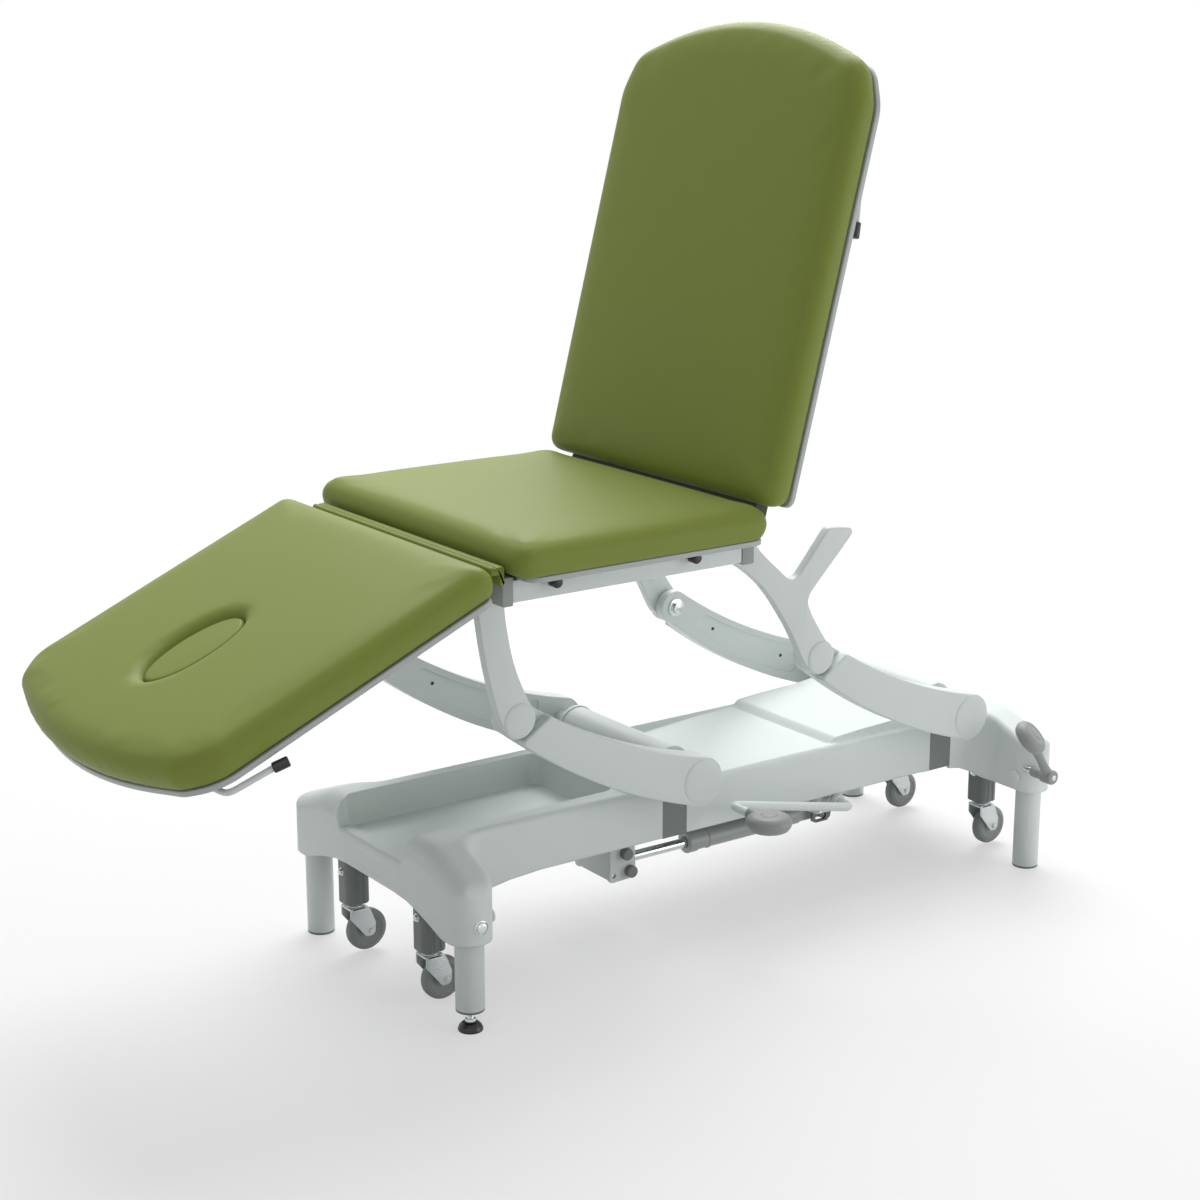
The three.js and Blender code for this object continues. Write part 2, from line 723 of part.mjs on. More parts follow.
// The fork's cheek along X from the ram's pin: its foot, its toe below and its heel above
const [FORK_FOOT, FORK_TOE, FORK_HEEL] = [-20, 22, 50].map((offset) => RAM_PIN_X + offset);
const FORK_DROP = 15;
const FORK_BOTTOM = CRANK_PIN[1] - FORK_DROP;
const FORK_ROUND = 8;
const FORK_TIE = [36, 48]; // beyond the ram's pin
const RAM_PIN_RADIUS = 6;
const PIN_SLOT_HALF = 13.5;
const PIN_SLOT_RISE = 67;
const PIN_SLOT = [CRANK_PIN[1] - 2 * RAM_PIN_RADIUS, CRANK_PIN[1] + PIN_SLOT_RISE];
{
  const rails = SIDES.map((side) =>
    sidePlate(
      rectangle(-LEG_X + BEAM_HALF - SUNK, LEG_X - BEAM_HALF + SUNK, BEAM_BOTTOM, BEAM_TOP),
      EAR_INNER - RAIL_WALL,
      EAR_INNER + FIT,
      side,
    ),
  );
  const beams = SIDES.map((end) => {
    const middle = end * LEG_X;
    return plateXY(
      rectangle(middle - BEAM_HALF, middle + BEAM_HALF, -BEAM_REACH, BEAM_REACH, BEAM_ROUND),
      BEAM_BOTTOM,
      BEAM_TOP,
    );
  });
  const bridges = BRIDGES.map((x) =>
    block(x, x + BRIDGE_WIDE, -BRIDGE_HALF, BRIDGE_HALF, BEAM_BOTTOM + BRIDGE_SUNK, BEAM_TOP - BRIDGE_SUNK),
  );
  const ears = PIVOTS.flatMap((x) => {
    const outline = [
      [x - EAR_HALF, EAR_BOTTOM],
      [x + EAR_HALF, EAR_BOTTOM],
      ...arc(x, LOWER_PIVOT_Z + EAR_RISE, EAR_HALF, 0, Math.PI),
    ];
    return SIDES.map((side) => sidePlate(outline, EAR_INNER, EAR_OUTER, side));
  });
  const cheekOutline = rounded([
    [FORK_FOOT, FORK_BOTTOM, FORK_ROUND],
    [FORK_TOE, FORK_BOTTOM, FORK_ROUND],
    [FORK_HEEL, BEAM_TOP - BRIDGE_SUNK],
    [FORK_FOOT, BEAM_TOP - BRIDGE_SUNK],
  ]);
  const forkCheeks = SIDES.map((side) => sidePlate(cheekOutline, ...FORK_CHEEK, side));
  const forkHalf = FORK_CHEEK[1] - FINE_EDGE;
  const forkTie = block(
    RAM_PIN_X + FORK_TIE[0],
    RAM_PIN_X + FORK_TIE[1],
    -forkHalf,
    forkHalf,
    BEAM_BOTTOM - CUT_PAST,
    BEAM_TOP - BRIDGE_SUNK - FINE_EDGE,
  );
  const shaftHoles = PIVOTS.map((x) =>
    bore(SHAFT_RADIUS + RUNNING, -BODY_HALF - CUT_PAST, BODY_HALF + CUT_PAST, "y", [x, 0, LOWER_PIVOT_Z]),
  );
  const [low, high] = [BEAM_BOTTOM - CUT_PAST, BEAM_TOP + CUT_PAST];
  const legHoles = SIDES.flatMap((end) =>
    SIDES.map((side) => bore(LEG_RADIUS + FIT, low, high, "z", [end * LEG_X, side * LEG_Y, 0])),
  );
  const sleeveHoles = SIDES.flatMap((end) =>
    SIDES.map((side) => plateXY(sleevePlan(end * LEG_X, side * CASTER_Y, SLIDING), low, high)),
  );
  const slotEnds = [RAM_PIN_X - PIN_SLOT_HALF, RAM_PIN_X + PIN_SLOT_HALF];
  const pinSlot = plateXZ(
    rectangle(...slotEnds, ...PIN_SLOT, RAM_PIN_RADIUS),
    -FORK_CHEEK[1] - CUT_PAST,
    FORK_CHEEK[1] + CUT_PAST,
  );
  const pedalHole = bore(
    PEDAL_SHAFT + RUNNING,
    -TEE_HALF,
    -BEAM_REACH + CUT_PAST,
    "y",
    [PEDAL_X, 0, PEDAL_Z],
  );
  const frame = join(...rails, ...beams, ...bridges, ...ears, ...forkCheeks, forkTie);
  const holes = [...shaftHoles, ...legHoles, ...sleeveHoles, pinSlot, pedalHole];
  node("chassis", cut(frame, ...holes), DARK);
}

// The plan of a castor sleeve, or with slack the plan of its hole
function sleevePlan(x, y, slack = 0) {
  const half = SLEEVE_WIDE / 2 + slack;
  return rectangle(x - half, x + half, y - half, y + half, SLEEVE_ROUND);
}

// Legs, the near foot leg shorter over its levelling foot
const STUD_RADIUS = 6;
const STUD_TOP = 72;
const STUD_ROOM = 25; // the screw can rise this far into the leg
const LEVELLING_PROFILE = [
  [0, 0],
  [20.5, 0],
  [20.5, 3],
  [18.5, 8],
  [14, 13],
  [9, 15.5],
  [9, 21],
  [STUD_RADIUS, 22.5],
  [STUD_RADIUS, STUD_TOP],
  [0, STUD_TOP],
];
const LEVELLING_SIDES = 12;
const PLACES = [
  [-1, -1, "foot_near"],
  [-1, 1, "foot_far"],
  [1, -1, "head_near"],
  [1, 1, "head_far"],
];
for (const [end, side, place] of PLACES) {
  const short = end < 0 && side < 0;
  const origin = [end * LEG_X, side * LEG_Y, 0];
  const leg = bar(LEG_RADIUS, short ? SHORT_LEG : 0, LEG_TOP, "z", origin, EDGE);
  const studHole = bore(STUD_RADIUS + SLIDING, SHORT_LEG - CUT_PAST, STUD_TOP + STUD_ROOM, "z", origin);
  node("leg_" + place, short ? cut(leg, studHole) : leg, PAINT);
}
node("levelling_foot", turned(LEVELLING_PROFILE, "z", [-LEG_X, -LEG_Y, 0], LEVELLING_SIDES), BLACK);

// Castor sleeves, forks and wheels
const STEM_RADIUS = 7;
const STEM_TOP = 150;
const STEM_ROOM = 24;
const FLUTE_RADIUS = 2.2;
const FLUTE_SPACING = 6;
const FLUTE_OUT = 0.9;
const FLUTE_FOOT = 8;
const BOLT_RADIUS = 5;
const BOLT_OUT = 5;
const BOLT_Z = 157;
const SMALL_SIDES = 10;
const FORK_LEG = 2.6;
const FORK_HALF = 17;
const FORK_CROWN = 5;
const RACE_RADIUS = 15;
const RACE_DEPTH = 3;
const AXLE_RADIUS = 5;
const AXLE_OUT = 1.5;
const WHEEL_SIDES = 14;
// The fork's cheek: from the stem's axis at the top, from the wheel's axle below, with its rounding
const CHEEK_TOP = [
  [-17, -1, 2],
  [-17, -20, 8],
];
const CHEEK_FOOT = [
  [-9, -8, 9],
  [9, -9, 9],
  [11, 14, 10],
];
const CHEEK_BACK = [
  [2, -12, 6],
  [17, -1, 2],
];
const HUB_RADIUS = 12;
const DISC_RADII = [14, 26];
const DISC_DEPTH = 3;
const RIM_DEPTH = 1;
const TREAD_ROUND = 6;
for (const [end, side, place] of PLACES) {
  const x = end * LEG_X;
  const y = side * CASTER_Y;
  const half = SLEEVE_WIDE / 2;
  const body = plateXY(sleevePlan(x, y), SLEEVE_BOTTOM, SLEEVE_TOP, 2 * EDGE);
  const stemHole = bore(STEM_RADIUS + SLIDING, SLEEVE_BOTTOM - CUT_PAST, STEM_TOP + STEM_ROOM, "z", [x, y, 0]);
  const flutes = SIDES.flatMap((k) =>
    SIDES.map((face) => {
      const centre = [x + k * FLUTE_SPACING, y + face * (half + FLUTE_OUT), 0];
      return bar(FLUTE_RADIUS, SLEEVE_BOTTOM + FLUTE_FOOT, SIDE_LIP, "z", centre, 0, 4);
    }),
  );
  const bolt = bar(BOLT_RADIUS, -half - BOLT_OUT, half + BOLT_OUT, "x", [x, y, BOLT_Z], FINE_EDGE, SMALL_SIDES);
  node("caster_sleeve_" + place, cut(join(body, bolt), stemHole, ...flutes), DARK);

  const wheelX = x + TRAIL;
  const cheekOutline = rounded([
    ...CHEEK_TOP.map(([u, z, r]) => [x + u, FORK_TOP + z, r]),
    ...CHEEK_FOOT.map(([u, z, r]) => [wheelX + u, AXLE_Z + z, r]),
    [wheelX + CHEEK_BACK[0][0], FORK_TOP + CHEEK_BACK[0][1], CHEEK_BACK[0][2]],
    [x + CHEEK_BACK[1][0], FORK_TOP + CHEEK_BACK[1][1], CHEEK_BACK[1][2]],
  ]);
  const cheeks = SIDES.map((face) =>
    plateXZ(
      cheekOutline,
      y + (face > 0 ? FORK_HALF - FORK_LEG : -FORK_HALF),
      y + (face > 0 ? FORK_HALF : FORK_LEG - FORK_HALF),
    ),
  );
  const crown = plateXY(
    rectangle(x - FORK_HALF, x + FORK_HALF, y - FORK_HALF, y + FORK_HALF, FORK_CROWN),
    FORK_TOP - FINE_EDGE - FORK_CROWN,
    FORK_TOP - FINE_EDGE,
  );
  const race = bar(
    RACE_RADIUS,
    FORK_TOP - RACE_DEPTH,
    FORK_TOP + RACE_DEPTH,
    "z",
    [x, y, 0],
    FINE_EDGE,
    SMALL_SIDES,
  );
  const stem = bar(STEM_RADIUS, FORK_TOP, STEM_TOP, "z", [x, y, 0]);
  const reach = FORK_HALF + AXLE_OUT;
  const axle = bar(AXLE_RADIUS, -reach, reach, "y", [wheelX, y, AXLE_Z]);
  node("caster_fork_" + place, join(...cheeks, crown, race, stem, axle), CHROME);

  const wide = WHEEL_WIDTH / 2;
  const halfTread = [
    [AXLE_RADIUS + RUNNING, wide],
    [HUB_RADIUS, wide],
    [DISC_RADII[0], wide - DISC_DEPTH],
    [DISC_RADII[1], wide - RIM_DEPTH],
    [WHEEL_RADIUS, wide - TREAD_ROUND],
  ];
  const tread = [...halfTread.map(([r, w]) => [r, -w]), ...halfTread.toReversed()];
  node("caster_wheel_" + place, turned(tread, "y", [wheelX, y, AXLE_Z], WHEEL_SIDES), MID);
}

// Castor pedal at the head end: hub, arm and pad
const PEDAL_OUT = 40;
const PEDAL_Y = -TEE_HALF - PEDAL_OUT;
const PEDAL_ARM = [-53, 86]; // from the shaft to the middle of the pad, along X and up
const PEDAL_ARM_HALF = 9;
const PEDAL_HUB = 14;
const PEDAL_COLLAR = 11;
const COLLAR_DEEP = 26;
const PEDAL_SHAFT_IN = 18;
const PEDAL_OUTLINE = [
  [-10, -13, 9],
  [-10, 13, 9],
]; // along the arm and across it
const PEDAL_WAIST_SHARE = 0.5;
const PEDAL_NECK_SHARE = 0.95;
const PEDAL_WAIST = 9;
const PEDAL_NECK = 12;
const PEDAL_BLEND = [14, 6];
const PEDAL_PAD = [
  [0, -14],
  [22, -14],
  [31, -10],
  [35, -2],
  [34, 6],
  [28, 12],
  [18, 14],
  [0, 14],
];
const PAD_SIDES = 16;
{
  const [dx, dz] = PEDAL_ARM;
  const length = Math.hypot(dx, dz);
  const [ax, az] = [dx / length, dz / length];
  const point = (along, off) => [PEDAL_X + ax * along - az * off, PEDAL_Z + az * along + ax * off];
  const waist = length * PEDAL_WAIST_SHARE;
  const neck = length * PEDAL_NECK_SHARE;
  const arm = plateXZ(
    rounded([
      ...PEDAL_OUTLINE.map(([along, off, r]) => [...point(along, off), r]),
      [...point(waist, PEDAL_WAIST), PEDAL_BLEND[0]],
      [...point(neck, PEDAL_NECK), PEDAL_BLEND[1]],
      [...point(neck, -PEDAL_NECK), PEDAL_BLEND[1]],
      [...point(waist, -PEDAL_WAIST), PEDAL_BLEND[0]],
    ]),
    PEDAL_Y - PEDAL_ARM_HALF,
    PEDAL_Y + PEDAL_ARM_HALF,
    ARM_EDGE,
  );
  const axis = [PEDAL_X, 0, PEDAL_Z];
  const hub = bar(PEDAL_HUB, PEDAL_Y - PEDAL_HUB, PEDAL_Y + PEDAL_HUB, "y", axis, ARM_EDGE);
  const collarEnd = -TEE_HALF - COLLAR_DEEP;
  const collar = bar(PEDAL_COLLAR, collarEnd, -TEE_HALF - FIT, "y", axis, FINE_EDGE);
  const shaft = bar(PEDAL_SHAFT, collarEnd, -TEE_HALF + PEDAL_SHAFT_IN, "y", axis, FINE_EDGE);
  const pad = turned(PEDAL_PAD, "z", [0, 0, 0], PAD_SIDES)
    .rotateY(Math.atan2(-az, -ax) + Math.PI / 2)
    .translate(PEDAL_X + dx, PEDAL_Y, PEDAL_Z + dz);
  node("caster_pedal", join(arm, hub, collar, shaft, pad), MID);
}

// Pump block and its lever
const PUMP_X = 226;
const PUMP_Z = 187;
const PUMP_BODY = [-30, 36]; // along X from the lever's axis
const PUMP_ACROSS = [-136, -66];
const PUMP_BOTTOM = 158;
const PUMP_EDGE = 4;
const BOSS_RADIUS = 17;
const BOSS_END = -152;
const BOSS_DROP = 4;
const NECK_RADIUS = 13;
const NECK_END = -60;
const NECK_OFF = [10, -10]; // from the lever's axis
const LEVER_RADIUS = 8;
const LEVER_BEND = 20;
const LEVER_IN = -112;
const LEVER_TURN = -200;
const LEVER_STOP = 13;
const STOP_SPAN = [-166, -154];
const LEVER_PAD_X = -57;
const LEVER_PAD_Y = -304;
const LEVER_PAD_Z = 249;
const LEVER_OUT = 8;
const SOCKET_END = -250;
const LEVER_PAD = [
  [0, -16],
  [24, -16],
  [34, -12],
  [39, -5],
  [40, 1],
  [37, 8],
  [30, 13],
  [20, 15.5],
  [0, 16],
];
{
  const body = block(
    PUMP_X + PUMP_BODY[0],
    PUMP_X + PUMP_BODY[1],
    ...PUMP_ACROSS,
    PUMP_BOTTOM,
    BEAM_BOTTOM - FIT,
    PUMP_EDGE,
  );
  const bossAxis = [PUMP_X, 0, PUMP_Z - BOSS_DROP];
  const boss = bar(BOSS_RADIUS, BOSS_END, PUMP_ACROSS[0] + 2 * PUMP_EDGE, "y", bossAxis, EDGE);
  const neckAxis = [PUMP_X + NECK_OFF[0], 0, PUMP_Z + NECK_OFF[1]];
  const neck = bar(NECK_RADIUS, PUMP_ACROSS[1] - 2 * PUMP_EDGE, NECK_END, "y", neckAxis, FINE_EDGE);
  const leverHole = bore(
    LEVER_RADIUS + RUNNING,
    BOSS_END - CUT_PAST,
    LEVER_IN + SUNK,
    "y",
    [PUMP_X, 0, PUMP_Z],
  );
  node("pump_block", cut(join(body, boss, neck), leverHole), PAINT);

  const path = [
    [PUMP_X, LEVER_IN, PUMP_Z],
    [PUMP_X, LEVER_TURN, PUMP_Z],
    [LEVER_PAD_X, LEVER_TURN, LEVER_PAD_Z],
    [LEVER_PAD_X, LEVER_PAD_Y + LEVER_OUT, LEVER_PAD_Z],
  ];
  const lever = rod(path, LEVER_RADIUS, LEVER_BEND);
  const stop = bar(LEVER_STOP, ...STOP_SPAN, "y", [PUMP_X, 0, PUMP_Z], FINE_EDGE);
  node("pump_lever", join(lever, stop), PAINT);

  const pad = turned(LEVER_PAD, "z", [LEVER_PAD_X, LEVER_PAD_Y, LEVER_PAD_Z], PAD_SIDES);
  const socket = bore(
    LEVER_RADIUS + FIT,
    LEVER_PAD_Y - LEVER_OUT / 2,
    SOCKET_END,
    "y",
    [LEVER_PAD_X, 0, LEVER_PAD_Z],
  );
  node("pump_lever_pad", cut(pad, socket), MID);
}

// Torque tubes, the crank under the foot one, and the ram
const CRANK_CHEEK = [46, 54];
// The crank's cheek below the tube: from the tube's axis, along X, down, with its rounding
const CRANK_OUTLINE = [
  [24, -20, 0],
  [-10.4, -160.5, 10],
  [-7.4, -228.5, 14],
  [-66.4, -230.5, 8],
  [-64.4, -170.5, 12],
  [-30, -16, 0],
];
const CRANK_TIE = [-66.4, -56.4];
const CRANK_TIE_Z = [96, 148];
const CRANK_PIN_RADIUS = 11;
const CRANK_PIN_HALF = 66;
const UPPER_PIN = [-180, 142];
const CRANK_HOLE = [-203, 103];
const CRANK_HOLE_RADIUS = 4;
const RAM_ROD = 9.5;
const ROD_EYE = 19;
const ROD_EYE_HALF = 16;
const ROD_ROOT = 4;
const ROD_END = 120;
const RAM_BARREL = 18.5;
const BARREL_SPAN = [-5, 262];
const GLAND_OUT = 2;
const GLAND_DEEP = 22;
const RAM_BORE_END = 258;
const RAM_SIDES = 18;
const REAR_BLOCK = [255, 312];
const REAR_HALF = 15;
const REAR_DEPTH = 12;
const REAR_PIN_HALF = 33;
const PIN_EDGE = 1.5;
{
  const footAxis = [FOOT_PIVOT_X, 0, LOWER_PIVOT_Z];
  const tube = bar(FOOT_TUBE_RADIUS, -FOOT_TUBE_HALF, FOOT_TUBE_HALF, "y", footAxis, EDGE);
  const shaft = bar(SHAFT_RADIUS, -SHAFT_END, SHAFT_END, "y", footAxis, FINE_EDGE);
  const cheekOutline = rounded(
    CRANK_OUTLINE.map(([x, z, r]) => [FOOT_PIVOT_X + x, LOWER_PIVOT_Z + z, r]),
  );
  const cheeks = SIDES.map((side) => sidePlate(cheekOutline, ...CRANK_CHEEK, side));
  const tieHalf = CRANK_CHEEK[1] - FINE_EDGE;
  const tie = block(
    FOOT_PIVOT_X + CRANK_TIE[0],
    FOOT_PIVOT_X + CRANK_TIE[1],
    -tieHalf,
    tieHalf,
    ...CRANK_TIE_Z,
  );
  const pin = ([x, z]) => bar(CRANK_PIN_RADIUS, -CRANK_PIN_HALF, CRANK_PIN_HALF, "y", [x, 0, z], PIN_EDGE);
  const reach = CRANK_PIN_HALF + CUT_PAST;
  const hole = bar(
    CRANK_HOLE_RADIUS,
    -reach,
    reach,
    "y",
    [CRANK_HOLE[0], 0, CRANK_HOLE[1]],
    0,
    SMALL_SIDES,
  );
  const crank = join(tube, shaft, ...cheeks, tie, pin(UPPER_PIN), pin(CRANK_PIN));
  node("torque_tube_foot", cut(crank, hole), PAINT);

  const headAxis = [HEAD_PIVOT_X, 0, LOWER_PIVOT_Z];
  const headTube = bar(HEAD_TUBE_RADIUS, -HEAD_TUBE_HALF, HEAD_TUBE_HALF, "y", headAxis, EDGE);
  const headShaft = bar(SHAFT_RADIUS, -SHAFT_END, SHAFT_END, "y", headAxis, FINE_EDGE);
  node("torque_tube_head", join(headTube, headShaft), PAINT);

  const [pinX, pinZ] = CRANK_PIN;
  const eye = bar(ROD_EYE, -ROD_EYE_HALF, ROD_EYE_HALF, "y", [pinX, 0, pinZ], PIN_EDGE);
  const rodBar = bar(RAM_ROD, pinX + ROD_ROOT, ROD_END, "x", [0, 0, pinZ], FINE_EDGE, RAM_SIDES);
  const eyeReach = ROD_EYE_HALF + CUT_PAST;
  const eyeHole = bore(CRANK_PIN_RADIUS + RUNNING, -eyeReach, eyeReach, "y", [pinX, 0, pinZ]);
  node("ram_rod", cut(join(eye, rodBar), eyeHole), CHROME);

  const barrel = bar(RAM_BARREL, ...BARREL_SPAN, "x", [0, 0, pinZ], EDGE);
  const gland = bar(
    RAM_BARREL + GLAND_OUT,
    BARREL_SPAN[0],
    BARREL_SPAN[0] + GLAND_DEEP,
    "x",
    [0, 0, pinZ],
    EDGE,
  );
  const rear = block(...REAR_BLOCK, -REAR_HALF, REAR_HALF, pinZ - REAR_DEPTH, pinZ + REAR_DEPTH, ARM_EDGE);
  const rearPin = bar(RAM_PIN_RADIUS, -REAR_PIN_HALF, REAR_PIN_HALF, "y", [RAM_PIN_X, 0, pinZ], FINE_EDGE);
  const ramBore = bore(
    RAM_ROD + SLIDING,
    BARREL_SPAN[0] - CUT_PAST,
    RAM_BORE_END,
    "x",
    [0, 0, pinZ],
    RAM_SIDES,
  );
  node("ram_barrel", cut(join(barrel, gland, rear, rearPin), ramBore), EDGING);
}

// Arms, each with a thinner tongue at its upper end beside the upright
const WAIST_SHARE = 0.576; // along the arm
const BELLY_SHARE = 0.416;
const STEP_SHARES = [0.87, 0.945]; // where the thick part ends, at the top and below
const STEP_OFF = [22, -30];
const CURVE_POINTS = 8;
// The shallow panel in the inner face: shares of the arm's length, and heights off its axis
const PANEL_SHARES = [0.152, 0.576, 0.828, 0.862, 0.465, 0.152];
const PANEL_OFF = [22, 5, 9, -20, -44, -34];
const PANEL_POINTS = 4;
const PANEL_DEPTH = 3;
const HOLE_SHARES = [0.27, 0.735];
const HOLE_OFF = -12;
const HOLE_RADIUS = 3;
const HOLE_DEPTH = 8;
const CAP_SUNK = -2; // cap of the arm's root: heights from the arm's face
const CAP_LIP = 0.8;
const CAP_SHOULDER = 2.7;
const CAP_BEVEL = 5;
const CAP_SIDES = 18;
const NEAR_AND_FAR = [
  [-1, "near"],
  [1, "far"],
];

function armPoint([along, off], pivotX) {
  const [c, s] = [Math.cos(ARM_ANGLE), Math.sin(ARM_ANGLE)];
  return [pivotX - along * c + off * s, LOWER_PIVOT_Z + along * s + off * c];
}

// An arm's outline along its axis; with a tail line it ends there instead of round its tip.
function armOutline(tail) {
  const top = arcThrough(
    [0, ARM_ROOT],
    [ARM_LENGTH * WAIST_SHARE, ARM_WAIST],
    [ARM_LENGTH, ARM_TIP],
    CURVE_POINTS,
  );
  const low = arcThrough(
    [ARM_LENGTH, -ARM_TIP],
    [ARM_LENGTH * BELLY_SHARE, ARM_BELLY],
    [0, -ARM_ROOT],
    CURVE_POINTS,
  );
  const root = arc(0, 0, ARM_ROOT, -Math.PI / 2, (-3 * Math.PI) / 2, FINE).slice(1, -1);
  if (!tail) {
    const tip = arc(ARM_LENGTH, 0, ARM_TIP, Math.PI / 2, -Math.PI / 2, FINE).slice(1, -1);
    return [...top, ...tip, ...low, ...root];
  }
  const [a, b] = tail;
  const beyond = ([x, y]) => (b[0] - a[0]) * (y - a[1]) - (b[1] - a[1]) * (x - a[0]) > 0;
  return [...top.filter((p) => !beyond(p)), a, b, ...low.filter((p) => !beyond(p)), ...root];
}

const tailLine = STEP_SHARES.map((share, i) => [ARM_LENGTH * share, STEP_OFF[i]]);
const panelPoints = PANEL_SHARES.map((share, i) => [ARM_LENGTH * share, PANEL_OFF[i]]);
for (const [pivotX, end] of [
  [FOOT_PIVOT_X, "foot"],
  [HEAD_PIVOT_X, "head"],
]) {
  for (const [side, place] of NEAR_AND_FAR) {
    const world = (outline) => outline.map((p) => armPoint(p, pivotX));
    const tongue = sidePlate(world(armOutline()), ARM_INNER, TONGUE_OUTER, side);
    const thick = sidePlate(world(armOutline(tailLine)), ARM_INNER, ARM_OUTER, side, ARM_EDGE);
    const capProfile = [
      [0, ARM_OUTER + CAP_SUNK],
      [CAP_RADIUS, ARM_OUTER + CAP_SUNK],
      [CAP_RADIUS, ARM_OUTER + CAP_LIP],
      [CAP_RADIUS - CAP_BEVEL, ARM_OUTER + CAP_SHOULDER],
      [0, ARM_OUTER + CAP_RISE],
    ];
    const cap = turned(capProfile, "y", [pivotX, 0, LOWER_PIVOT_Z], CAP_SIDES, side < 0);
    const inner = ARM_INNER - CUT_PAST;
    const outer = ARM_OUTER + CUT_PAST;
    const socket = sideBore(SHAFT_RADIUS + FIT, inner, SHAFT_END + FIT, side, pivotX, LOWER_PIVOT_Z);
    const [tipX, tipZ] = armPoint([ARM_LENGTH, 0], pivotX);
    const pinHole = sideBore(PIN_RADIUS + RUNNING, inner, outer, side, tipX, tipZ);
    const panelTop = arcThrough(...panelPoints.slice(0, 3), PANEL_POINTS);
    const panelLow = arcThrough(...panelPoints.slice(3), PANEL_POINTS);
    const panel = sidePlate(world([...panelTop, ...panelLow]), inner, ARM_INNER + PANEL_DEPTH, side);
    const holes = HOLE_SHARES.map((share) => {
      const [x, z] = armPoint([ARM_LENGTH * share, HOLE_OFF], pivotX);
      return sideBar(HOLE_RADIUS, inner, ARM_INNER + HOLE_DEPTH, side, x, z);
    });
    const arm = cut(join(thick, tongue, cap), socket, pinHole, panel, ...holes);
    node("arm_" + end + "_" + place, arm, PAINT);
  }
}

// Uprights of the platform: leading edge from the rail down, back edge from the pivot up,
// along X and up from the upright's own pivot
platform.position.set(FOOT_UPPER_X, 0, UPPER_PIVOT_Z);
const UPRIGHT_TOP = RAIL_TOP - FIT;
const FOOT_UPRIGHT = [
  [-79, UPRIGHT_TOP],
  [-77, 203.5],
  [-74, 175.5],
  [-68.7, 138.2],
  [-61, 95.5],
  [-52.5, 59.5],
  [-42.6, 23.7],
  [-35, 3.5],
];
const FOOT_UPRIGHT_BACK = [
  [19, 27.5],
  [8.4, 50.2],
  [-2.5, 75.5],
  [-13, 108.5],
  [-20.9, 147.9],
  [-26, 183.5],
  [-29, UPRIGHT_TOP],
];
const HEAD_UPRIGHT = [
  [-212.9, UPRIGHT_TOP],
  [-212.9, 207.5],
  [-195.3, 195.6],
  [-166.4, 176],
  [-139.4, 153.2],
  [-115.4, 126],
  [-94.7, 96.9],
  [-72.9, 65],
  [-54.9, 32],
  [-42.9, 7.5],
  [-32.9, -9.5],
];
const HEAD_UPRIGHT_BACK = [
  [1.6, 44.5],
  [-11.2, 63.6],
  [-24.9, 87.5],
  [-31.5, 102.5],
  [-28.9, 115.5],
  [-21.9, 125.5],
  [61.4, 207.5],
  [66.6, 215.5],
  [65.6, 222.5],
  [59.1, 226],
  [21.1, 230.8],
  [15.1, 230.8],
  [9.6, 228],
  [-48.9, 159],
  [-56.9, 153],
  [-65.9, 150.5],
  [-77.4, 153],
  [-96.6, 170.5],
  [-140.7, 209.9],
  [-154.4, 231.5],
  [-155.9, 240.5],
];
const FOOT_ROUND = [190, 400].map(THREE.MathUtils.degToRad);
const HEAD_ROUND = [205, 425].map(THREE.MathUtils.degToRad);
const DOME_RADII = [0, 29, 29, 24, 0];
const DOME_RISE = [-3, -3, 1, 3, 4.2]; // from the upright's outer face
const DOME_SIDES = 16;
const PIN_OUT = 6; // the pin and its hexagon stand out of the arm's inner face
const HEX_OUT = 11;
const HEX_HALF = 18;
const HEX_SIDES = 6;
for (const [side, place] of NEAR_AND_FAR) {
  for (const [end, x, lead, back, hinge, turn] of [
    ["foot", 0, FOOT_UPRIGHT, FOOT_UPRIGHT_BACK, LEG_HINGE, FOOT_ROUND],
    ["head", PIVOT_SPACING, HEAD_UPRIGHT, HEAD_UPRIGHT_BACK, BACK_HINGE, HEAD_ROUND],
  ]) {
    const round = arc(0, 0, ARM_TIP, ...turn, FINE);
    const outline = [...lead, ...round, ...back].map(([u, w]) => [x + u, w]);
    const body = sidePlate(outline, UPRIGHT_INNER, UPRIGHT_OUTER, side, EDGE);
    const lug = sidePlate(circle(...hinge, LUG_RADIUS), UPRIGHT_INNER, UPRIGHT_OUTER, side);
    const domeProfile = DOME_RADII.map((radius, i) => [radius, UPRIGHT_OUTER + DOME_RISE[i]]);
    const dome = turned(domeProfile, "y", [x, 0, 0], DOME_SIDES, side < 0);
    const pin = sideBar(PIN_RADIUS, ARM_INNER - PIN_OUT, UPRIGHT_INNER + SUNK, side, x, 0);
    const hexInner = ARM_INNER - HEX_OUT;
    const head = sideBar(HEX_HALF, hexInner, ARM_INNER - FIT, side, x, 0, PIN_EDGE, HEX_SIDES);
    const hole = sideBore(
      HINGE_RADIUS + RUNNING,
      UPRIGHT_INNER - CUT_PAST,
      UPRIGHT_OUTER + CUT_PAST,
      side,
      ...hinge,
    );
    const upright = cut(join(body, lug, dome, pin, head), hole);
    node("upright_" + end + "_" + place, upright, PAINT, platform);
  }
}

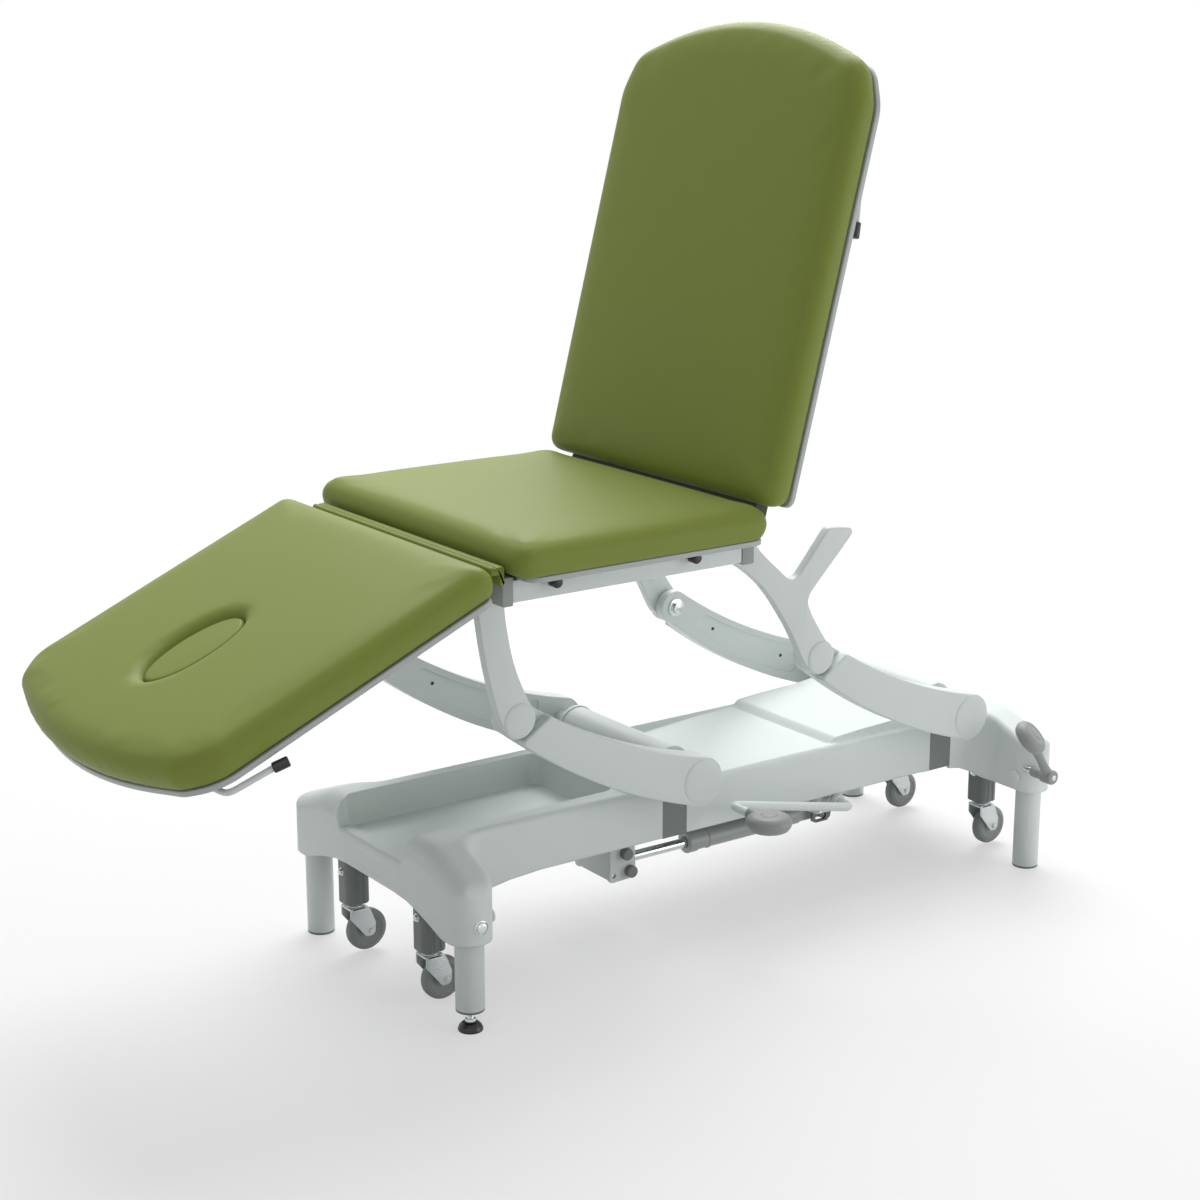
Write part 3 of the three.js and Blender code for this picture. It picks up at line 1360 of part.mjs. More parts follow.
// Seat rails with an end cap at each end, and clamp knobs on them
const CAP_LOW = RAIL_BOTTOM - 2 * EDGE;
const FOOT_CAP_RISE = 7;
const FOOT_CAP_OUT = 3;
const HEAD_CAP_OUT = 1;
const CAP_CORNER = 3;
const KNOB_PLACES = [
  [36, "foot"],
  [310.5, "head"],
];
const KNOB_Z = 234.5;
const KNOB_RADII = [0, 9, 9, 5, 5, 9, 9, 6.5, 0];
const KNOB_OUT = [0, 0, 1, 2.5, 6, 8, 16, 19, 19]; // from its plate, beyond the fit
const KNOB_SIDES = 10;
const KNOB_PLATE = [19, 9.5]; // half length and half height of the oval plate behind a knob
const KNOB_PLATE_OUT = 1.8;
const KNOB_PLATE_SIDES = 12;
const CROSS_LAP = 6; // the head one starts this far before its rail caps
const CROSS_MEMBERS = [
  [-52, "foot"],
  [HEAD_CAP[0] - CROSS_LAP, "head"],
];
const CROSS_WIDE = 20;
const CROSS_LOW = 4; // above the rails' lower edge
for (const [side, place] of NEAR_AND_FAR) {
  const railOutline = rectangle(FOOT_CAP[1] + FIT, HEAD_CAP[0] - FIT, RAIL_BOTTOM, RAIL_TOP);
  const rail = sidePlate(railOutline, RAIL_INNER, RAIL_OUTER, side, EDGE);
  const knobPlates = KNOB_PLACES.map(([x]) => {
    const oval = circle(0, 0, 1, KNOB_PLATE_SIDES);
    const outline = oval.map(([u, w]) => [x + u * KNOB_PLATE[0], KNOB_Z + w * KNOB_PLATE[1]]);
    return sidePlate(outline, RAIL_OUTER - SUNK, RAIL_OUTER + KNOB_PLATE_OUT, side);
  });
  node("seat_rail_" + place, join(rail, ...knobPlates), PAINT, platform);
  const footCap = sidePlate(
    rectangle(...FOOT_CAP, CAP_LOW, RAIL_TOP + FOOT_CAP_RISE, CAP_CORNER),
    RAIL_INNER,
    RAIL_OUTER + FOOT_CAP_OUT,
    side,
    FINE_EDGE,
  );
  node("rail_cap_foot_" + place, footCap, MID, platform);
  const headCap = sidePlate(
    rectangle(...HEAD_CAP, CAP_LOW, RAIL_TOP, CAP_CORNER),
    RAIL_INNER,
    RAIL_OUTER + HEAD_CAP_OUT,
    side,
    FINE_EDGE,
  );
  node("rail_cap_head_" + place, headCap, MID, platform);

  for (const [x, end] of KNOB_PLACES) {
    const foot = RAIL_OUTER + KNOB_PLATE_OUT + FIT;
    const profile = KNOB_RADII.map((radius, i) => [radius, foot + KNOB_OUT[i]]);
    const knob = turned(profile, "y", [x, 0, KNOB_Z], KNOB_SIDES, side < 0);
    node("rail_knob_" + end + "_" + place, knob, BLACK, platform);
  }
}
for (const [x, end] of CROSS_MEMBERS) {
  const half = UPRIGHT_INNER - FIT;
  const low = RAIL_BOTTOM + CROSS_LOW;
  const member = block(x, x + CROSS_WIDE, -half, half, low, UPRIGHT_TOP, FINE_EDGE);
  node("cross_member_" + end, member, PAINT, platform);
}

// Adds points along the long sides of an outline, so that a crowned face stays smooth.
const SPACING = 120;
function evenly(outline) {
  return outline.flatMap(([x, y], i) => {
    const [nx, ny] = outline[(i + 1) % outline.length];
    const count = Math.max(1, Math.round(Math.hypot(nx - x, ny - y) / SPACING));
    return Array.from({ length: count }, (_, k) => [x + ((nx - x) * k) / count, y + ((ny - y) * k) / count]);
  });
}

const padded = (outline, bottom) =>
  cushion(evenly(outline), bottom, bottom + FOAM, PAD_ROLL, PAD_TUCK, PAD_CROWN);

// Seat
const SEAT_BOARD_FOOT = -28;
const SEAT_BOARD_INSET = [4, 18]; // from the cushion's head edge and from its sides
const BOARD_CORNER = 24;
{
  const low = RAIL_TOP + FIT;
  const half = SECTION_HALF - SEAT_BOARD_INSET[1];
  const boardOutline = rectangle(
    SEAT_BOARD_FOOT,
    SEAT_HEAD - SEAT_BOARD_INSET[0],
    -half,
    half,
    BOARD_CORNER,
  );
  const board = plateXY(boardOutline, low, low + SEAT_BOARD, FINE_EDGE);
  node("seat_board", board, EDGING, platform);
  const plan = rectangle(SEAT_FOOT, SEAT_HEAD, -SECTION_HALF, SECTION_HALF, SEAT_CORNER);
  node("seat_cushion", padded(plan, low + SEAT_BOARD + FIT), VINYL, platform);
}

// Padded strip over the leg hinge: a stem on the uprights and a rolled top, along X and up
const STRIP_HALF = 285;
const STRIP_OUTLINE = [
  [14, 0, 0],
  [23, 0, 0],
  [23, 30, 5],
  [9, 29, 2],
  [7, 26, 1.5],
  [5, 29.5, 2],
  [-2.5, 30, 5],
  [-2.5, 16, 3],
  [14, 16, 0],
]; // along X from the hinge, up from the uprights
{
  const place = ([x, z, r]) => [LEG_HINGE[0] + x, RAIL_TOP + z, r];
  const strip = plateXZ(rounded(STRIP_OUTLINE.map(place)), -STRIP_HALF, STRIP_HALF);
  node("hinge_strip", strip, VINYL, platform);
}

// A hinged section's plan: a square end at the hinge, rounded shoulders and a bowed nose
const NOSE_POINTS = 8;
const NOSE_LAP = 2;
function sectionPlan(start, corner, shoulder, cheek, reach, inset) {
  const half = SECTION_HALF - inset;
  const [shoulderX, shoulderRound] = shoulder;
  const [cheekX, cheekIn, cheekRound] = cheek;
  const x = shoulderX + cheekX - inset;
  const noseHalf = half - cheekIn + NOSE_LAP;
  const nose = arcThrough(
    [x - NOSE_LAP, noseHalf],
    [reach - inset, 0],
    [x - NOSE_LAP, -noseHalf],
    NOSE_POINTS,
  );
  return rounded([
    [start, -half, corner],
    [shoulderX, -half, shoulderRound],
    [x, cheekIn - half, cheekRound],
    ...nose.slice(1, -1).toReversed(),
    [x, half - cheekIn, cheekRound],
    [shoulderX, half, shoulderRound],
    [start, half, corner],
  ]);
}

// Sets a section's frame so that its hinge line falls on the given one.
function hang(section, hinge, along, up, tilt, forward) {
  const [c, s] = [Math.cos(tilt), Math.sin(tilt)];
  section.position.set(
    hinge[0] - forward * along * c + up * s,
    0,
    hinge[1] + (forward > 0 ? -along : along) * s - up * c,
  );
}

// Frame under a section: two tubes, three bars across and two hinge lugs
const TUBE_Y = [168, 188];
const TUBE_DEPTH = 26;
const BAR_HALF = 180;
const BAR_WIDE = 20;
const BAR_SPAN = [-22, -2];
const LUG_Y = [172, 186];
const LUG_INSET = 1;
const HINGE_END = 231;
function sectionFrame(span, bars, hinge, lugOutline) {
  const [first, last] = span;
  const tubes = SIDES.map((side) => {
    const [y0, y1] = side > 0 ? TUBE_Y : TUBE_Y.map((y) => -y).toReversed();
    return block(first, last, y0, y1, -TUBE_DEPTH, -FIT, FINE_EDGE);
  });
  const across = bars.map((x) => block(x, x + BAR_WIDE, -BAR_HALF, BAR_HALF, ...BAR_SPAN));
  const lugs = SIDES.map((side) => sidePlate(lugOutline, ...LUG_Y, side));
  const origin = [hinge[0], 0, hinge[1]];
  const shaft = bar(HINGE_RADIUS, -HINGE_END, HINGE_END, "y", origin, FINE_EDGE);
  return join(...tubes, ...across, ...lugs, shaft);
}

// A release lever: a bent rod from its pivot below the board, with a thicker grip at its end
const LEVER_ROD = 5;
const LEVER_ROD_BEND = 12;
const GRIP_RADIUS = 8.5;
const GRIP_SIDES = 10;
const PIVOT_RADIUS = 9;
const PIVOT_DEPTH = 24;
const PIVOT_BEND = 1;
function releaseLever(path, grip, [pivot]) {
  const handle = rod(grip, GRIP_RADIUS, PIVOT_BEND, GRIP_SIDES);
  const boss = bar(PIVOT_RADIUS, -PIVOT_DEPTH, -FIT, "z", [...pivot, 0], FINE_EDGE);
  return join(rod(path, LEVER_ROD, LEVER_ROD_BEND), handle, boss);
}

// Leg section
const LEG_CORNER = 25;
const LEG_SHOULDER_ROUND = 80;
const LEG_CHEEK = [48, 46, 30]; // beyond the shoulder, in from the side, rounding
const BOARD_INSET = 8;
const LEG_BOARD_START = 0;
const HOLE_BEFORE = 153; // the hole's middle lies this far before the shoulders
const HOLE_ALONG = LEG_SHOULDER - HOLE_BEFORE;
const HOLE_LONG = 92;
const HOLE_WIDE = 50;
const HOLE_SIDES = 22;
const PLUG_GAP = 1;
const PLUG_FOOT = 2;
const PLUG_SUNK = 6.3;
const PLUG_EDGE = 5;
const TUBES_SHORT = 42; // the frame's tubes end this far before the shoulders
const BAR_INSET = 20;
const LEG_TUBES = [6, LEG_SHOULDER - TUBES_SHORT];
const LEG_BARS = [BAR_INSET, LEG_TUBES[1] / 2, LEG_TUBES[1] - BAR_INSET];
const LUG_ARC = [75, 215].map(THREE.MathUtils.degToRad);
const LEG_LUG_RADIUS = 12.5;
const LEG_LUG = [
  [8, -24],
  [26, -24],
  [26, -3],
  [-9.5, -3],
  [-11.5, 8],
];
// Release levers: along from the shoulders, across and up
const fromShoulder = (shoulder, points) => points.map(([x, ...rest]) => [shoulder + x, ...rest]);
const LEG_LEVER = [
  [-4, 240, -14],
  [-6, 285, -14],
  [-9, 311, -14],
  [-85, 326, -13],
  [-103, 333, -13],
];
const LEG_GRIP = [
  [-81, 325, -13],
  [-105, 334, -13],
];
const LEG_LEVER_PIVOT = [-4, 236];
legSection.rotation.set(0, -LEG_TILT, Math.PI, "YXZ");
hang(legSection, LEG_HINGE, LEG_HINGE_ALONG, LEG_HINGE_UP, LEG_TILT, -1);
{
  const plan = (start, inset) =>
    sectionPlan(
      start,
      LEG_CORNER - inset,
      [LEG_SHOULDER, LEG_SHOULDER_ROUND],
      LEG_CHEEK,
      LEG_REACH,
      inset,
    );
  const oval = (grow) =>
    circle(0, 0, 1, HOLE_SIDES).map(([x, y]) => [
      HOLE_ALONG + x * (HOLE_LONG + grow),
      y * (HOLE_WIDE + grow),
    ]);
  const top = BOARD_DEPTH + FIT + FOAM;
  const hole = plateXY(oval(0), -CUT_PAST, top + CUT_PAST);
  const board = plateXY(plan(LEG_BOARD_START, BOARD_INSET), 0, BOARD_DEPTH, EDGE);
  node("leg_board", cut(board, hole), EDGING, legSection);
  const lugRooms = SIDES.map((side) =>
    sideBar(
      LUG_RADIUS + SUNK,
      UPRIGHT_INNER - SUNK,
      UPRIGHT_OUTER + SUNK,
      side,
      LEG_HINGE_ALONG,
      LEG_HINGE_UP,
    ),
  );
  const pad = padded(plan(LEG_START, 0), BOARD_DEPTH + FIT);
  node("leg_cushion", cut(pad, hole, ...lugRooms), VINYL, legSection);
  const plug = plateXY(oval(-PLUG_GAP), PLUG_FOOT, top - PLUG_SUNK, PLUG_EDGE, 2);
  node("breathing_plug", plug, VINYL, legSection);

  const hinge = [LEG_HINGE_ALONG, LEG_HINGE_UP];
  const lug = [...arc(...hinge, LEG_LUG_RADIUS, ...LUG_ARC), ...LEG_LUG];
  node("leg_frame", sectionFrame(LEG_TUBES, LEG_BARS, hinge, lug), PAINT, legSection);
  const lever = releaseLever(
    ...[LEG_LEVER, LEG_GRIP, [LEG_LEVER_PIVOT]].map((path) => fromShoulder(LEG_SHOULDER, path)),
  );
  node("leg_release_lever", lever, PAINT, legSection);
}

// Backrest
const BACK_CORNER = 26;
const BACK_SHOULDER_ROUND = 90;
const BACK_CHEEK = [70, 31, 60];
const BACK_BOARD_START = -22;
const BACK_TUBES = [4, BACK_SHOULDER - TUBES_SHORT];
const BACK_BARS = [BAR_INSET, BACK_TUBES[1] / 2, BACK_TUBES[1] - 2 * BAR_INSET];
const BACK_LUG_ARC = [55, 240].map(THREE.MathUtils.degToRad);
const BACK_LUG = [
  [-10, -24],
  [20, -24],
  [20, -3],
  [-25, -3],
  [-27, 9.9],
  [-52, 9.9],
];
const BACK_LEVER = [
  [-99, -225, -15],
  [-99, -285, -15],
  [-174, -300, -15],
  [-204, -304, -15],
];
const BACK_GRIP = [
  [-184, -301.5, -15],
  [-211, -305, -15],
];
const BACK_LEVER_PIVOT = [-99, -222];
const BACK_STRIP_HALF = 292;
const BACK_STRIP = [
  [-50, 10.2, 0],
  [-31, 10.2, 0],
  [-31, 34, 3],
  [-36, 36, 3],
  [-50, 24, 4],
];
backSection.rotation.set(0, -BACK_LEAN, 0);
hang(backSection, BACK_HINGE, BACK_HINGE_ALONG, BACK_HINGE_UP, BACK_LEAN, 1);
{
  const plan = (start, inset) =>
    sectionPlan(
      start,
      BACK_CORNER - inset,
      [BACK_SHOULDER, BACK_SHOULDER_ROUND],
      BACK_CHEEK,
      BACK_REACH,
      inset,
    );
  const board = plateXY(plan(BACK_BOARD_START, BOARD_INSET), 0, BOARD_DEPTH, EDGE);
  node("backrest_board", board, EDGING, backSection);
  const pad = padded(plan(BACK_START, 0), BOARD_DEPTH + FIT);
  node("backrest_cushion", pad, VINYL, backSection);
  const strip = plateXZ(rounded(BACK_STRIP), -BACK_STRIP_HALF, BACK_STRIP_HALF);
  node("backrest_strip", strip, VINYL, backSection);

  const hinge = [BACK_HINGE_ALONG, BACK_HINGE_UP];
  const lug = [...arc(...hinge, LUG_RADIUS - LUG_INSET, ...BACK_LUG_ARC), ...BACK_LUG];
  node("backrest_frame", sectionFrame(BACK_TUBES, BACK_BARS, hinge, lug), PAINT, backSection);
  const lever = releaseLever(
    ...[BACK_LEVER, BACK_GRIP, [BACK_LEVER_PIVOT]].map((path) => fromShoulder(BACK_SHOULDER, path)),
  );
  node("backrest_release_lever", lever, PAINT, backSection);
}

// The frame of the part: origin at the middle of the lowest plane of the whole object.
platform.add(legSection, backSection);
couch.add(platform);
couch.updateMatrixWorld(true);
const bounds = new THREE.Box3().setFromObject(couch, true);
const middle = bounds.getCenter(new THREE.Vector3());
couch.position.set(-middle.x, -middle.y, -bounds.min.z);

export default couch;
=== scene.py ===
"""Height adjustable treatment couch: finishes, padding, fine pieces, studio and camera.

Lengths in the constants are millimetres in the maker's frame: origin on the floor in the middle
of the four legs, X towards the head end, Y away from the viewer, Z up. Meshes are in metres.
"""
import json
import math

import bmesh
import bpy
import numpy as np
from mathutils import Matrix, Vector
from mathutils.geometry import delaunay_2d_cdt


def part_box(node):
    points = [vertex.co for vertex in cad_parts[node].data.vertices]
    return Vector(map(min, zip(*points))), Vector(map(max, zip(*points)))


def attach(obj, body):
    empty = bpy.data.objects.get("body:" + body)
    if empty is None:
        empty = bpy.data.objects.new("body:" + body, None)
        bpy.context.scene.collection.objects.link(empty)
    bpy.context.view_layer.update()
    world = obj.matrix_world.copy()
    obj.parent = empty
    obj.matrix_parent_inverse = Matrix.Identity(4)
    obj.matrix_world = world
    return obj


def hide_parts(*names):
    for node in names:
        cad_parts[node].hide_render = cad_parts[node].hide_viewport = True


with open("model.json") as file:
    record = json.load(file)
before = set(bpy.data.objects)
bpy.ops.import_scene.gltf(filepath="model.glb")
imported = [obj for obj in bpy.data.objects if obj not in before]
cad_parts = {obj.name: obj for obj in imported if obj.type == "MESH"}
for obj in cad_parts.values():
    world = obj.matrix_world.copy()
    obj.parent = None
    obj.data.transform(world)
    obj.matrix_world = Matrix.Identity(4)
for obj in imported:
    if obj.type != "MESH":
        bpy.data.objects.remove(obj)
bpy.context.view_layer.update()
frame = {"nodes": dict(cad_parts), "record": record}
nodes = frame["nodes"]

MM = 0.001
LEGS = ("leg_foot_near", "leg_foot_far", "leg_head_near", "leg_head_far")
LEG_MIDDLES = np.array([np.mean(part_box(leg), axis=0) for leg in LEGS])
BASE = np.array([*LEG_MIDDLES[:, :2].mean(axis=0), 0.0])
BODIES = frame["record"]["behaviour"]["bodies"]
BODY_OF = {node: body for body, held in BODIES.items() for node in held}
SLOT_OF = {name: part.material_slots[0].material.name.split(".")[0] for name, part in nodes.items()}
ENDS = {"foot": -1, "head": 1}
SIDES = {"near": -1, "far": 1}


# Camera
FOCAL_PIXELS = 2278.57
PICTURE = 1200.0
SENSOR = 36.0
EYE = np.array([-2420.8, -3135.2, 1604.9])
EYE_TURN, EYE_TIP = -35.36, 14.67


def place_camera():
    """The photograph's view, from the near side of the foot end and a little above."""
    data = bpy.data.cameras.new("camera")
    camera = bpy.data.objects.new("camera", data)
    bpy.context.scene.collection.objects.link(camera)
    data.sensor_width = SENSOR
    data.lens = SENSOR * FOCAL_PIXELS / PICTURE
    data.clip_end = 60.0
    camera.location = BASE + EYE * MM
    camera.rotation_euler = (math.radians(90.0 - EYE_TIP), 0.0, math.radians(EYE_TURN))
    bpy.context.scene.camera = camera


place_camera()


# Finishes
def linear(hex_colour):
    """A paint shade written as on screen, as scene light: the usual screen curve undone."""
    shade = np.array([int(hex_colour[k : k + 2], 16) for k in (0, 2, 4)]) / 255.0
    light = np.where(shade <= 0.04045, shade / 12.92, ((shade + 0.055) / 1.055) ** 2.4)
    return (*light, 1.0)


def node_group(name, inputs, outputs):
    """A shader group with (name, socket, value) inputs and (name, socket) outputs."""
    group = bpy.data.node_groups.new(name, "ShaderNodeTree")
    for label, kind, value in inputs:
        socket = group.interface.new_socket(label, in_out="INPUT", socket_type=kind)
        socket.default_value = value
    for label, kind in outputs:
        group.interface.new_socket(label, in_out="OUTPUT", socket_type=kind)
    return group, group.nodes.new("NodeGroupInput"), group.nodes.new("NodeGroupOutput")


def math_node(tree, operation, first, second=None):
    step = tree.nodes.new("ShaderNodeMath")
    step.operation = operation
    for socket, value in zip(step.inputs, (first, second)):
        if isinstance(value, (int, float)):
            socket.default_value = value
        elif value is not None:
            tree.links.new(value, socket)
    return step.outputs[0]


def noise(tree, vector, scale, detail=2.0, roughness=0.5):
    texture = tree.nodes.new("ShaderNodeTexNoise")
    texture.inputs["Detail"].default_value = detail
    texture.inputs["Roughness"].default_value = roughness
    tree.links.new(vector, texture.inputs["Vector"])
    if isinstance(scale, (int, float)):
        texture.inputs["Scale"].default_value = scale
    else:
        tree.links.new(scale, texture.inputs["Scale"])
    return texture.outputs["Fac"]


def mottled_group():
    """Slow uneven shade: the colour's value times 1 + amount * (broad noise - 0.5), and the
    roughness plus spread * (broad noise - 0.5)."""
    group, given, result = node_group(
        "uneven shade",
        [
            ("Colour", "NodeSocketColor", (0.8, 0.8, 0.8, 1.0)),
            ("Scale", "NodeSocketFloat", 4.0),
            ("Amount", "NodeSocketFloat", 0.04),
            ("Roughness", "NodeSocketFloat", 0.5),
            ("Spread", "NodeSocketFloat", 0.06),
        ],
        [("Colour", "NodeSocketColor"), ("Roughness", "NodeSocketFloat")],
    )
    place = group.nodes.new("ShaderNodeTexCoord").outputs["Object"]
    broad = noise(group, place, given.outputs["Scale"], 3.0, 0.55)
    centred = math_node(group, "SUBTRACT", broad, 0.5)
    swing = math_node(group, "MULTIPLY", centred, given.outputs["Amount"])
    level = math_node(group, "ADD", swing, 1.0)
    shade = group.nodes.new("ShaderNodeHueSaturation")
    group.links.new(given.outputs["Colour"], shade.inputs["Color"])
    group.links.new(level, shade.inputs["Value"])
    group.links.new(shade.outputs["Color"], result.inputs["Colour"])
    rough = math_node(group, "MULTIPLY", centred, given.outputs["Spread"])
    group.links.new(math_node(group, "ADD", rough, given.outputs["Roughness"]), result.inputs["Roughness"])
    return group


def grain_group():
    """Fine relief: domed cells of a moulded or pressed grain over finer pores, as a height."""
    group, given, result = node_group(
        "fine grain",
        [("Scale", "NodeSocketFloat", 700.0), ("Cells", "NodeSocketFloat", 0.5)],
        [("Height", "NodeSocketFloat")],
    )
    place = group.nodes.new("ShaderNodeTexCoord").outputs["Object"]
    cells = group.nodes.new("ShaderNodeTexVoronoi")
    cells.feature = "SMOOTH_F1"
    group.links.new(place, cells.inputs["Vector"])
    group.links.new(given.outputs["Scale"], cells.inputs["Scale"])
    pores = noise(group, place, math_node(group, "MULTIPLY", given.outputs["Scale"], 1.7))
    domes = math_node(group, "MULTIPLY", cells.outputs["Distance"], given.outputs["Cells"])
    group.links.new(math_node(group, "ADD", domes, pores), result.inputs["Height"])
    return group


def scuff_group():
    """Wear: sparse thin streaks where a stretched noise passes a threshold, as a mask."""
    group, given, result = node_group(
        "light scuffs",
        [("Scale", "NodeSocketFloat", 30.0), ("Amount", "NodeSocketFloat", 0.3)],
        [("Mask", "NodeSocketFloat")],
    )
    place = group.nodes.new("ShaderNodeTexCoord").outputs["Object"]
    stretch = group.nodes.new("ShaderNodeMapping")
    stretch.inputs["Scale"].default_value = (1.0, 6.0, 2.0)
    stretch.inputs["Rotation"].default_value = (0.4, 0.3, 0.6)
    group.links.new(place, stretch.inputs["Vector"])
    streak = noise(group, stretch.outputs["Vector"], given.outputs["Scale"], 4.0, 0.6)
    past = group.nodes.new("ShaderNodeMapRange")
    past.inputs["From Min"].default_value = 0.60
    past.inputs["From Max"].default_value = 0.74
    group.links.new(streak, past.inputs["Value"])
    mask = math_node(group, "MULTIPLY", past.outputs["Result"], given.outputs["Amount"])
    group.links.new(mask, result.inputs["Mask"])
    return group


def soil_group():
    """Floor dirt on wheels and feet: full at the floor and gone at the given height, broken up
    by noise, as a mask."""
    group, given, result = node_group(
        "floor dust",
        [("Height", "NodeSocketFloat", 0.05), ("Amount", "NodeSocketFloat", 0.4)],
        [("Mask", "NodeSocketFloat")],
    )
    place = group.nodes.new("ShaderNodeTexCoord").outputs["Object"]
    split = group.nodes.new("ShaderNodeSeparateXYZ")
    group.links.new(place, split.inputs["Vector"])
    share = math_node(group, "DIVIDE", split.outputs["Z"], given.outputs["Height"])
    low = group.nodes.new("ShaderNodeClamp")
    group.links.new(math_node(group, "SUBTRACT", 1.0, share), low.inputs["Value"])
    broken = math_node(group, "MULTIPLY", low.outputs["Result"], noise(group, place, 120.0, 4.0, 0.65))
    mask = math_node(group, "MULTIPLY", broken, given.outputs["Amount"])
    group.links.new(mask, result.inputs["Mask"])
    return group


MOTTLED, GRAIN, SCUFFS, SOIL = mottled_group(), grain_group(), scuff_group(), soil_group()


def placed(tree, group, **values):
    """A use of the shared shader group in the tree, with its inputs set."""
    node = tree.nodes.new("ShaderNodeGroup")
    node.node_tree = group
    for label, value in values.items():
        node.inputs[label].default_value = value
    return node


def overlaid(tree, mask, colour, over):
    """The colour with another laid over it where the mask is one."""
    mix = tree.nodes.new("ShaderNodeMix")
    mix.data_type = "RGBA"
    tree.links.new(mask, mix.inputs["Factor"])
    tree.links.new(colour, mix.inputs["A"])
    mix.inputs["B"].default_value = linear(over)
    return mix.outputs["Result"]


def finish_of(name, shade, roughness, metallic=0.0, *, broad=5.0, uneven=0.05, spread=0.08,
              grain=900.0, cells=0.4, depth=0.2, scuffs=0.0, worn="b9bdbb", soil=0.0, coat=0.0,
              sheen=0.0, specular=0.5):
    """A finish from its shade, gloss, slow unevenness, fine grain, light wear and dust."""
    material = bpy.data.materials.new(name)
    material.use_nodes = True
    tree = material.node_tree
    surface = tree.nodes["Principled BSDF"]
    surface.inputs["Metallic"].default_value = metallic
    surface.inputs["Specular IOR Level"].default_value = specular
    surface.inputs["Coat Weight"].default_value = coat
    surface.inputs["Coat Roughness"].default_value = 0.12
    surface.inputs["Sheen Weight"].default_value = sheen
    tone = placed(tree, MOTTLED, Colour=linear(shade), Scale=broad, Amount=uneven,
                  Roughness=roughness, Spread=spread)
    colour, rough = tone.outputs["Colour"], tone.outputs["Roughness"]
    if scuffs:
        mask = placed(tree, SCUFFS, Scale=26.0, Amount=scuffs).outputs["Mask"]
        colour = overlaid(tree, mask, colour, worn)
        rough = math_node(tree, "ADD", rough, math_node(tree, "MULTIPLY", mask, 0.25))
    if soil:
        mask = placed(tree, SOIL, Height=0.06, Amount=soil).outputs["Mask"]
        colour = overlaid(tree, mask, colour, "8d8a82")
    tree.links.new(colour, surface.inputs["Base Color"])
    tree.links.new(rough, surface.inputs["Roughness"])
    relief = placed(tree, GRAIN, Scale=grain, Cells=cells)
    bump = tree.nodes.new("ShaderNodeBump")
    bump.inputs["Strength"].default_value = depth
    bump.inputs["Distance"].default_value = 0.0002
    tree.links.new(relief.outputs["Height"], bump.inputs["Height"])
    tree.links.new(bump.outputs["Normal"], surface.inputs["Normal"])
    return material


PAINTED_STEEL = finish_of("painted steel", "cfd6d3", 0.42, uneven=0.02, specular=0.3, grain=420.0,
                          cells=0.1, depth=0.12, scuffs=0.06, worn="c2c8c6")
COVER_PLASTIC = finish_of("cover plastic", "d3dad7", 0.44, uneven=0.02, specular=0.3, grain=1100.0,
                          cells=0.6, depth=0.2)
DARK_STEEL = finish_of("dark steel", "747a78", 0.5, grain=600.0, scuffs=0.15, worn="8d9391")
SLEEVE_GREY = finish_of("sleeve grey", "6d7371", 0.48, grain=900.0, cells=0.6, depth=0.3)
GREY_PLASTIC = finish_of("grey plastic", "8f9492", 0.45, grain=1000.0, cells=0.8, depth=0.3)
PEDAL_GREY = finish_of("pedal grey", "8b8f8e", 0.46, grain=1000.0, cells=0.8, depth=0.35, scuffs=0.15,
                       worn="a2a6a5")
BLACK_PLASTIC = finish_of("black plastic", "17191a", 0.32, uneven=0.2, grain=1000.0, depth=0.15)
BRIGHT_METAL = finish_of("bright metal", "d6dadc", 0.18, 1.0, grain=300.0, cells=0.0, depth=0.06,
                         scuffs=0.2, worn="a9adaf")
FORK_METAL = finish_of("fork metal", "c4caca", 0.3, 0.6, grain=500.0, cells=0.0, depth=0.1,
                       scuffs=0.25, worn="8d9292", soil=0.3)
WHEEL_RUBBER = finish_of("wheel rubber", "7f8583", 0.6, grain=700.0, scuffs=0.25, worn="9b9f9d", soil=0.6)
WHEEL_HUB = finish_of("wheel hub", "8d9391", 0.5, grain=800.0, soil=0.3)
VINYL = finish_of("vinyl", "7a873b", 0.5, broad=3.0, uneven=0.035, grain=850.0, cells=1.0,
                  depth=0.3, sheen=0.03, specular=0.18)
# Vinyl painted near black for the strip behind the backrest: painted shade for the shadow in the gap between
# the seat and the backrest.
GAP_SHADE_VINYL = finish_of("dark vinyl", "30371c", 0.55, grain=850.0, cells=1.0, depth=0.3)
BOARD_EDGE = finish_of("board edge", "a9afae", 0.4, grain=500.0)

CAD_FINISHES = {
    "painted_steel": PAINTED_STEEL,
    "cover_plastic": COVER_PLASTIC,
    "dark_steel": DARK_STEEL,
    "grey_plastic": GREY_PLASTIC,
    "black_plastic": BLACK_PLASTIC,
    "bright_metal": BRIGHT_METAL,
    "wheel_rubber": WHEEL_RUBBER,
    "vinyl": VINYL,
    "board_edge": BOARD_EDGE,
}
for part in nodes.values():
    for holder in part.material_slots:
        kind = holder.material.name.split(".")[0]
        holder.link = "OBJECT"
        holder.material = CAD_FINISHES[kind]


# Surfaces
SHARP = math.radians(34.0)


def in_place(points):
    """Maker's millimetres to metres in the frame."""
    return np.asarray(points, dtype=float) * MM + BASE


def grid_faces(rows, columns, closed=True):
    """Quads between neighbouring rows; closed joins the last column to the first."""
    row = np.arange(rows - 1)[:, None] * columns
    column = np.arange(columns if closed else columns - 1)[None, :]
    after = (column + 1) % columns
    a, b = row + column, row + after
    return np.stack([a, b, b + columns, a + columns], axis=-1).reshape(-1, 4)


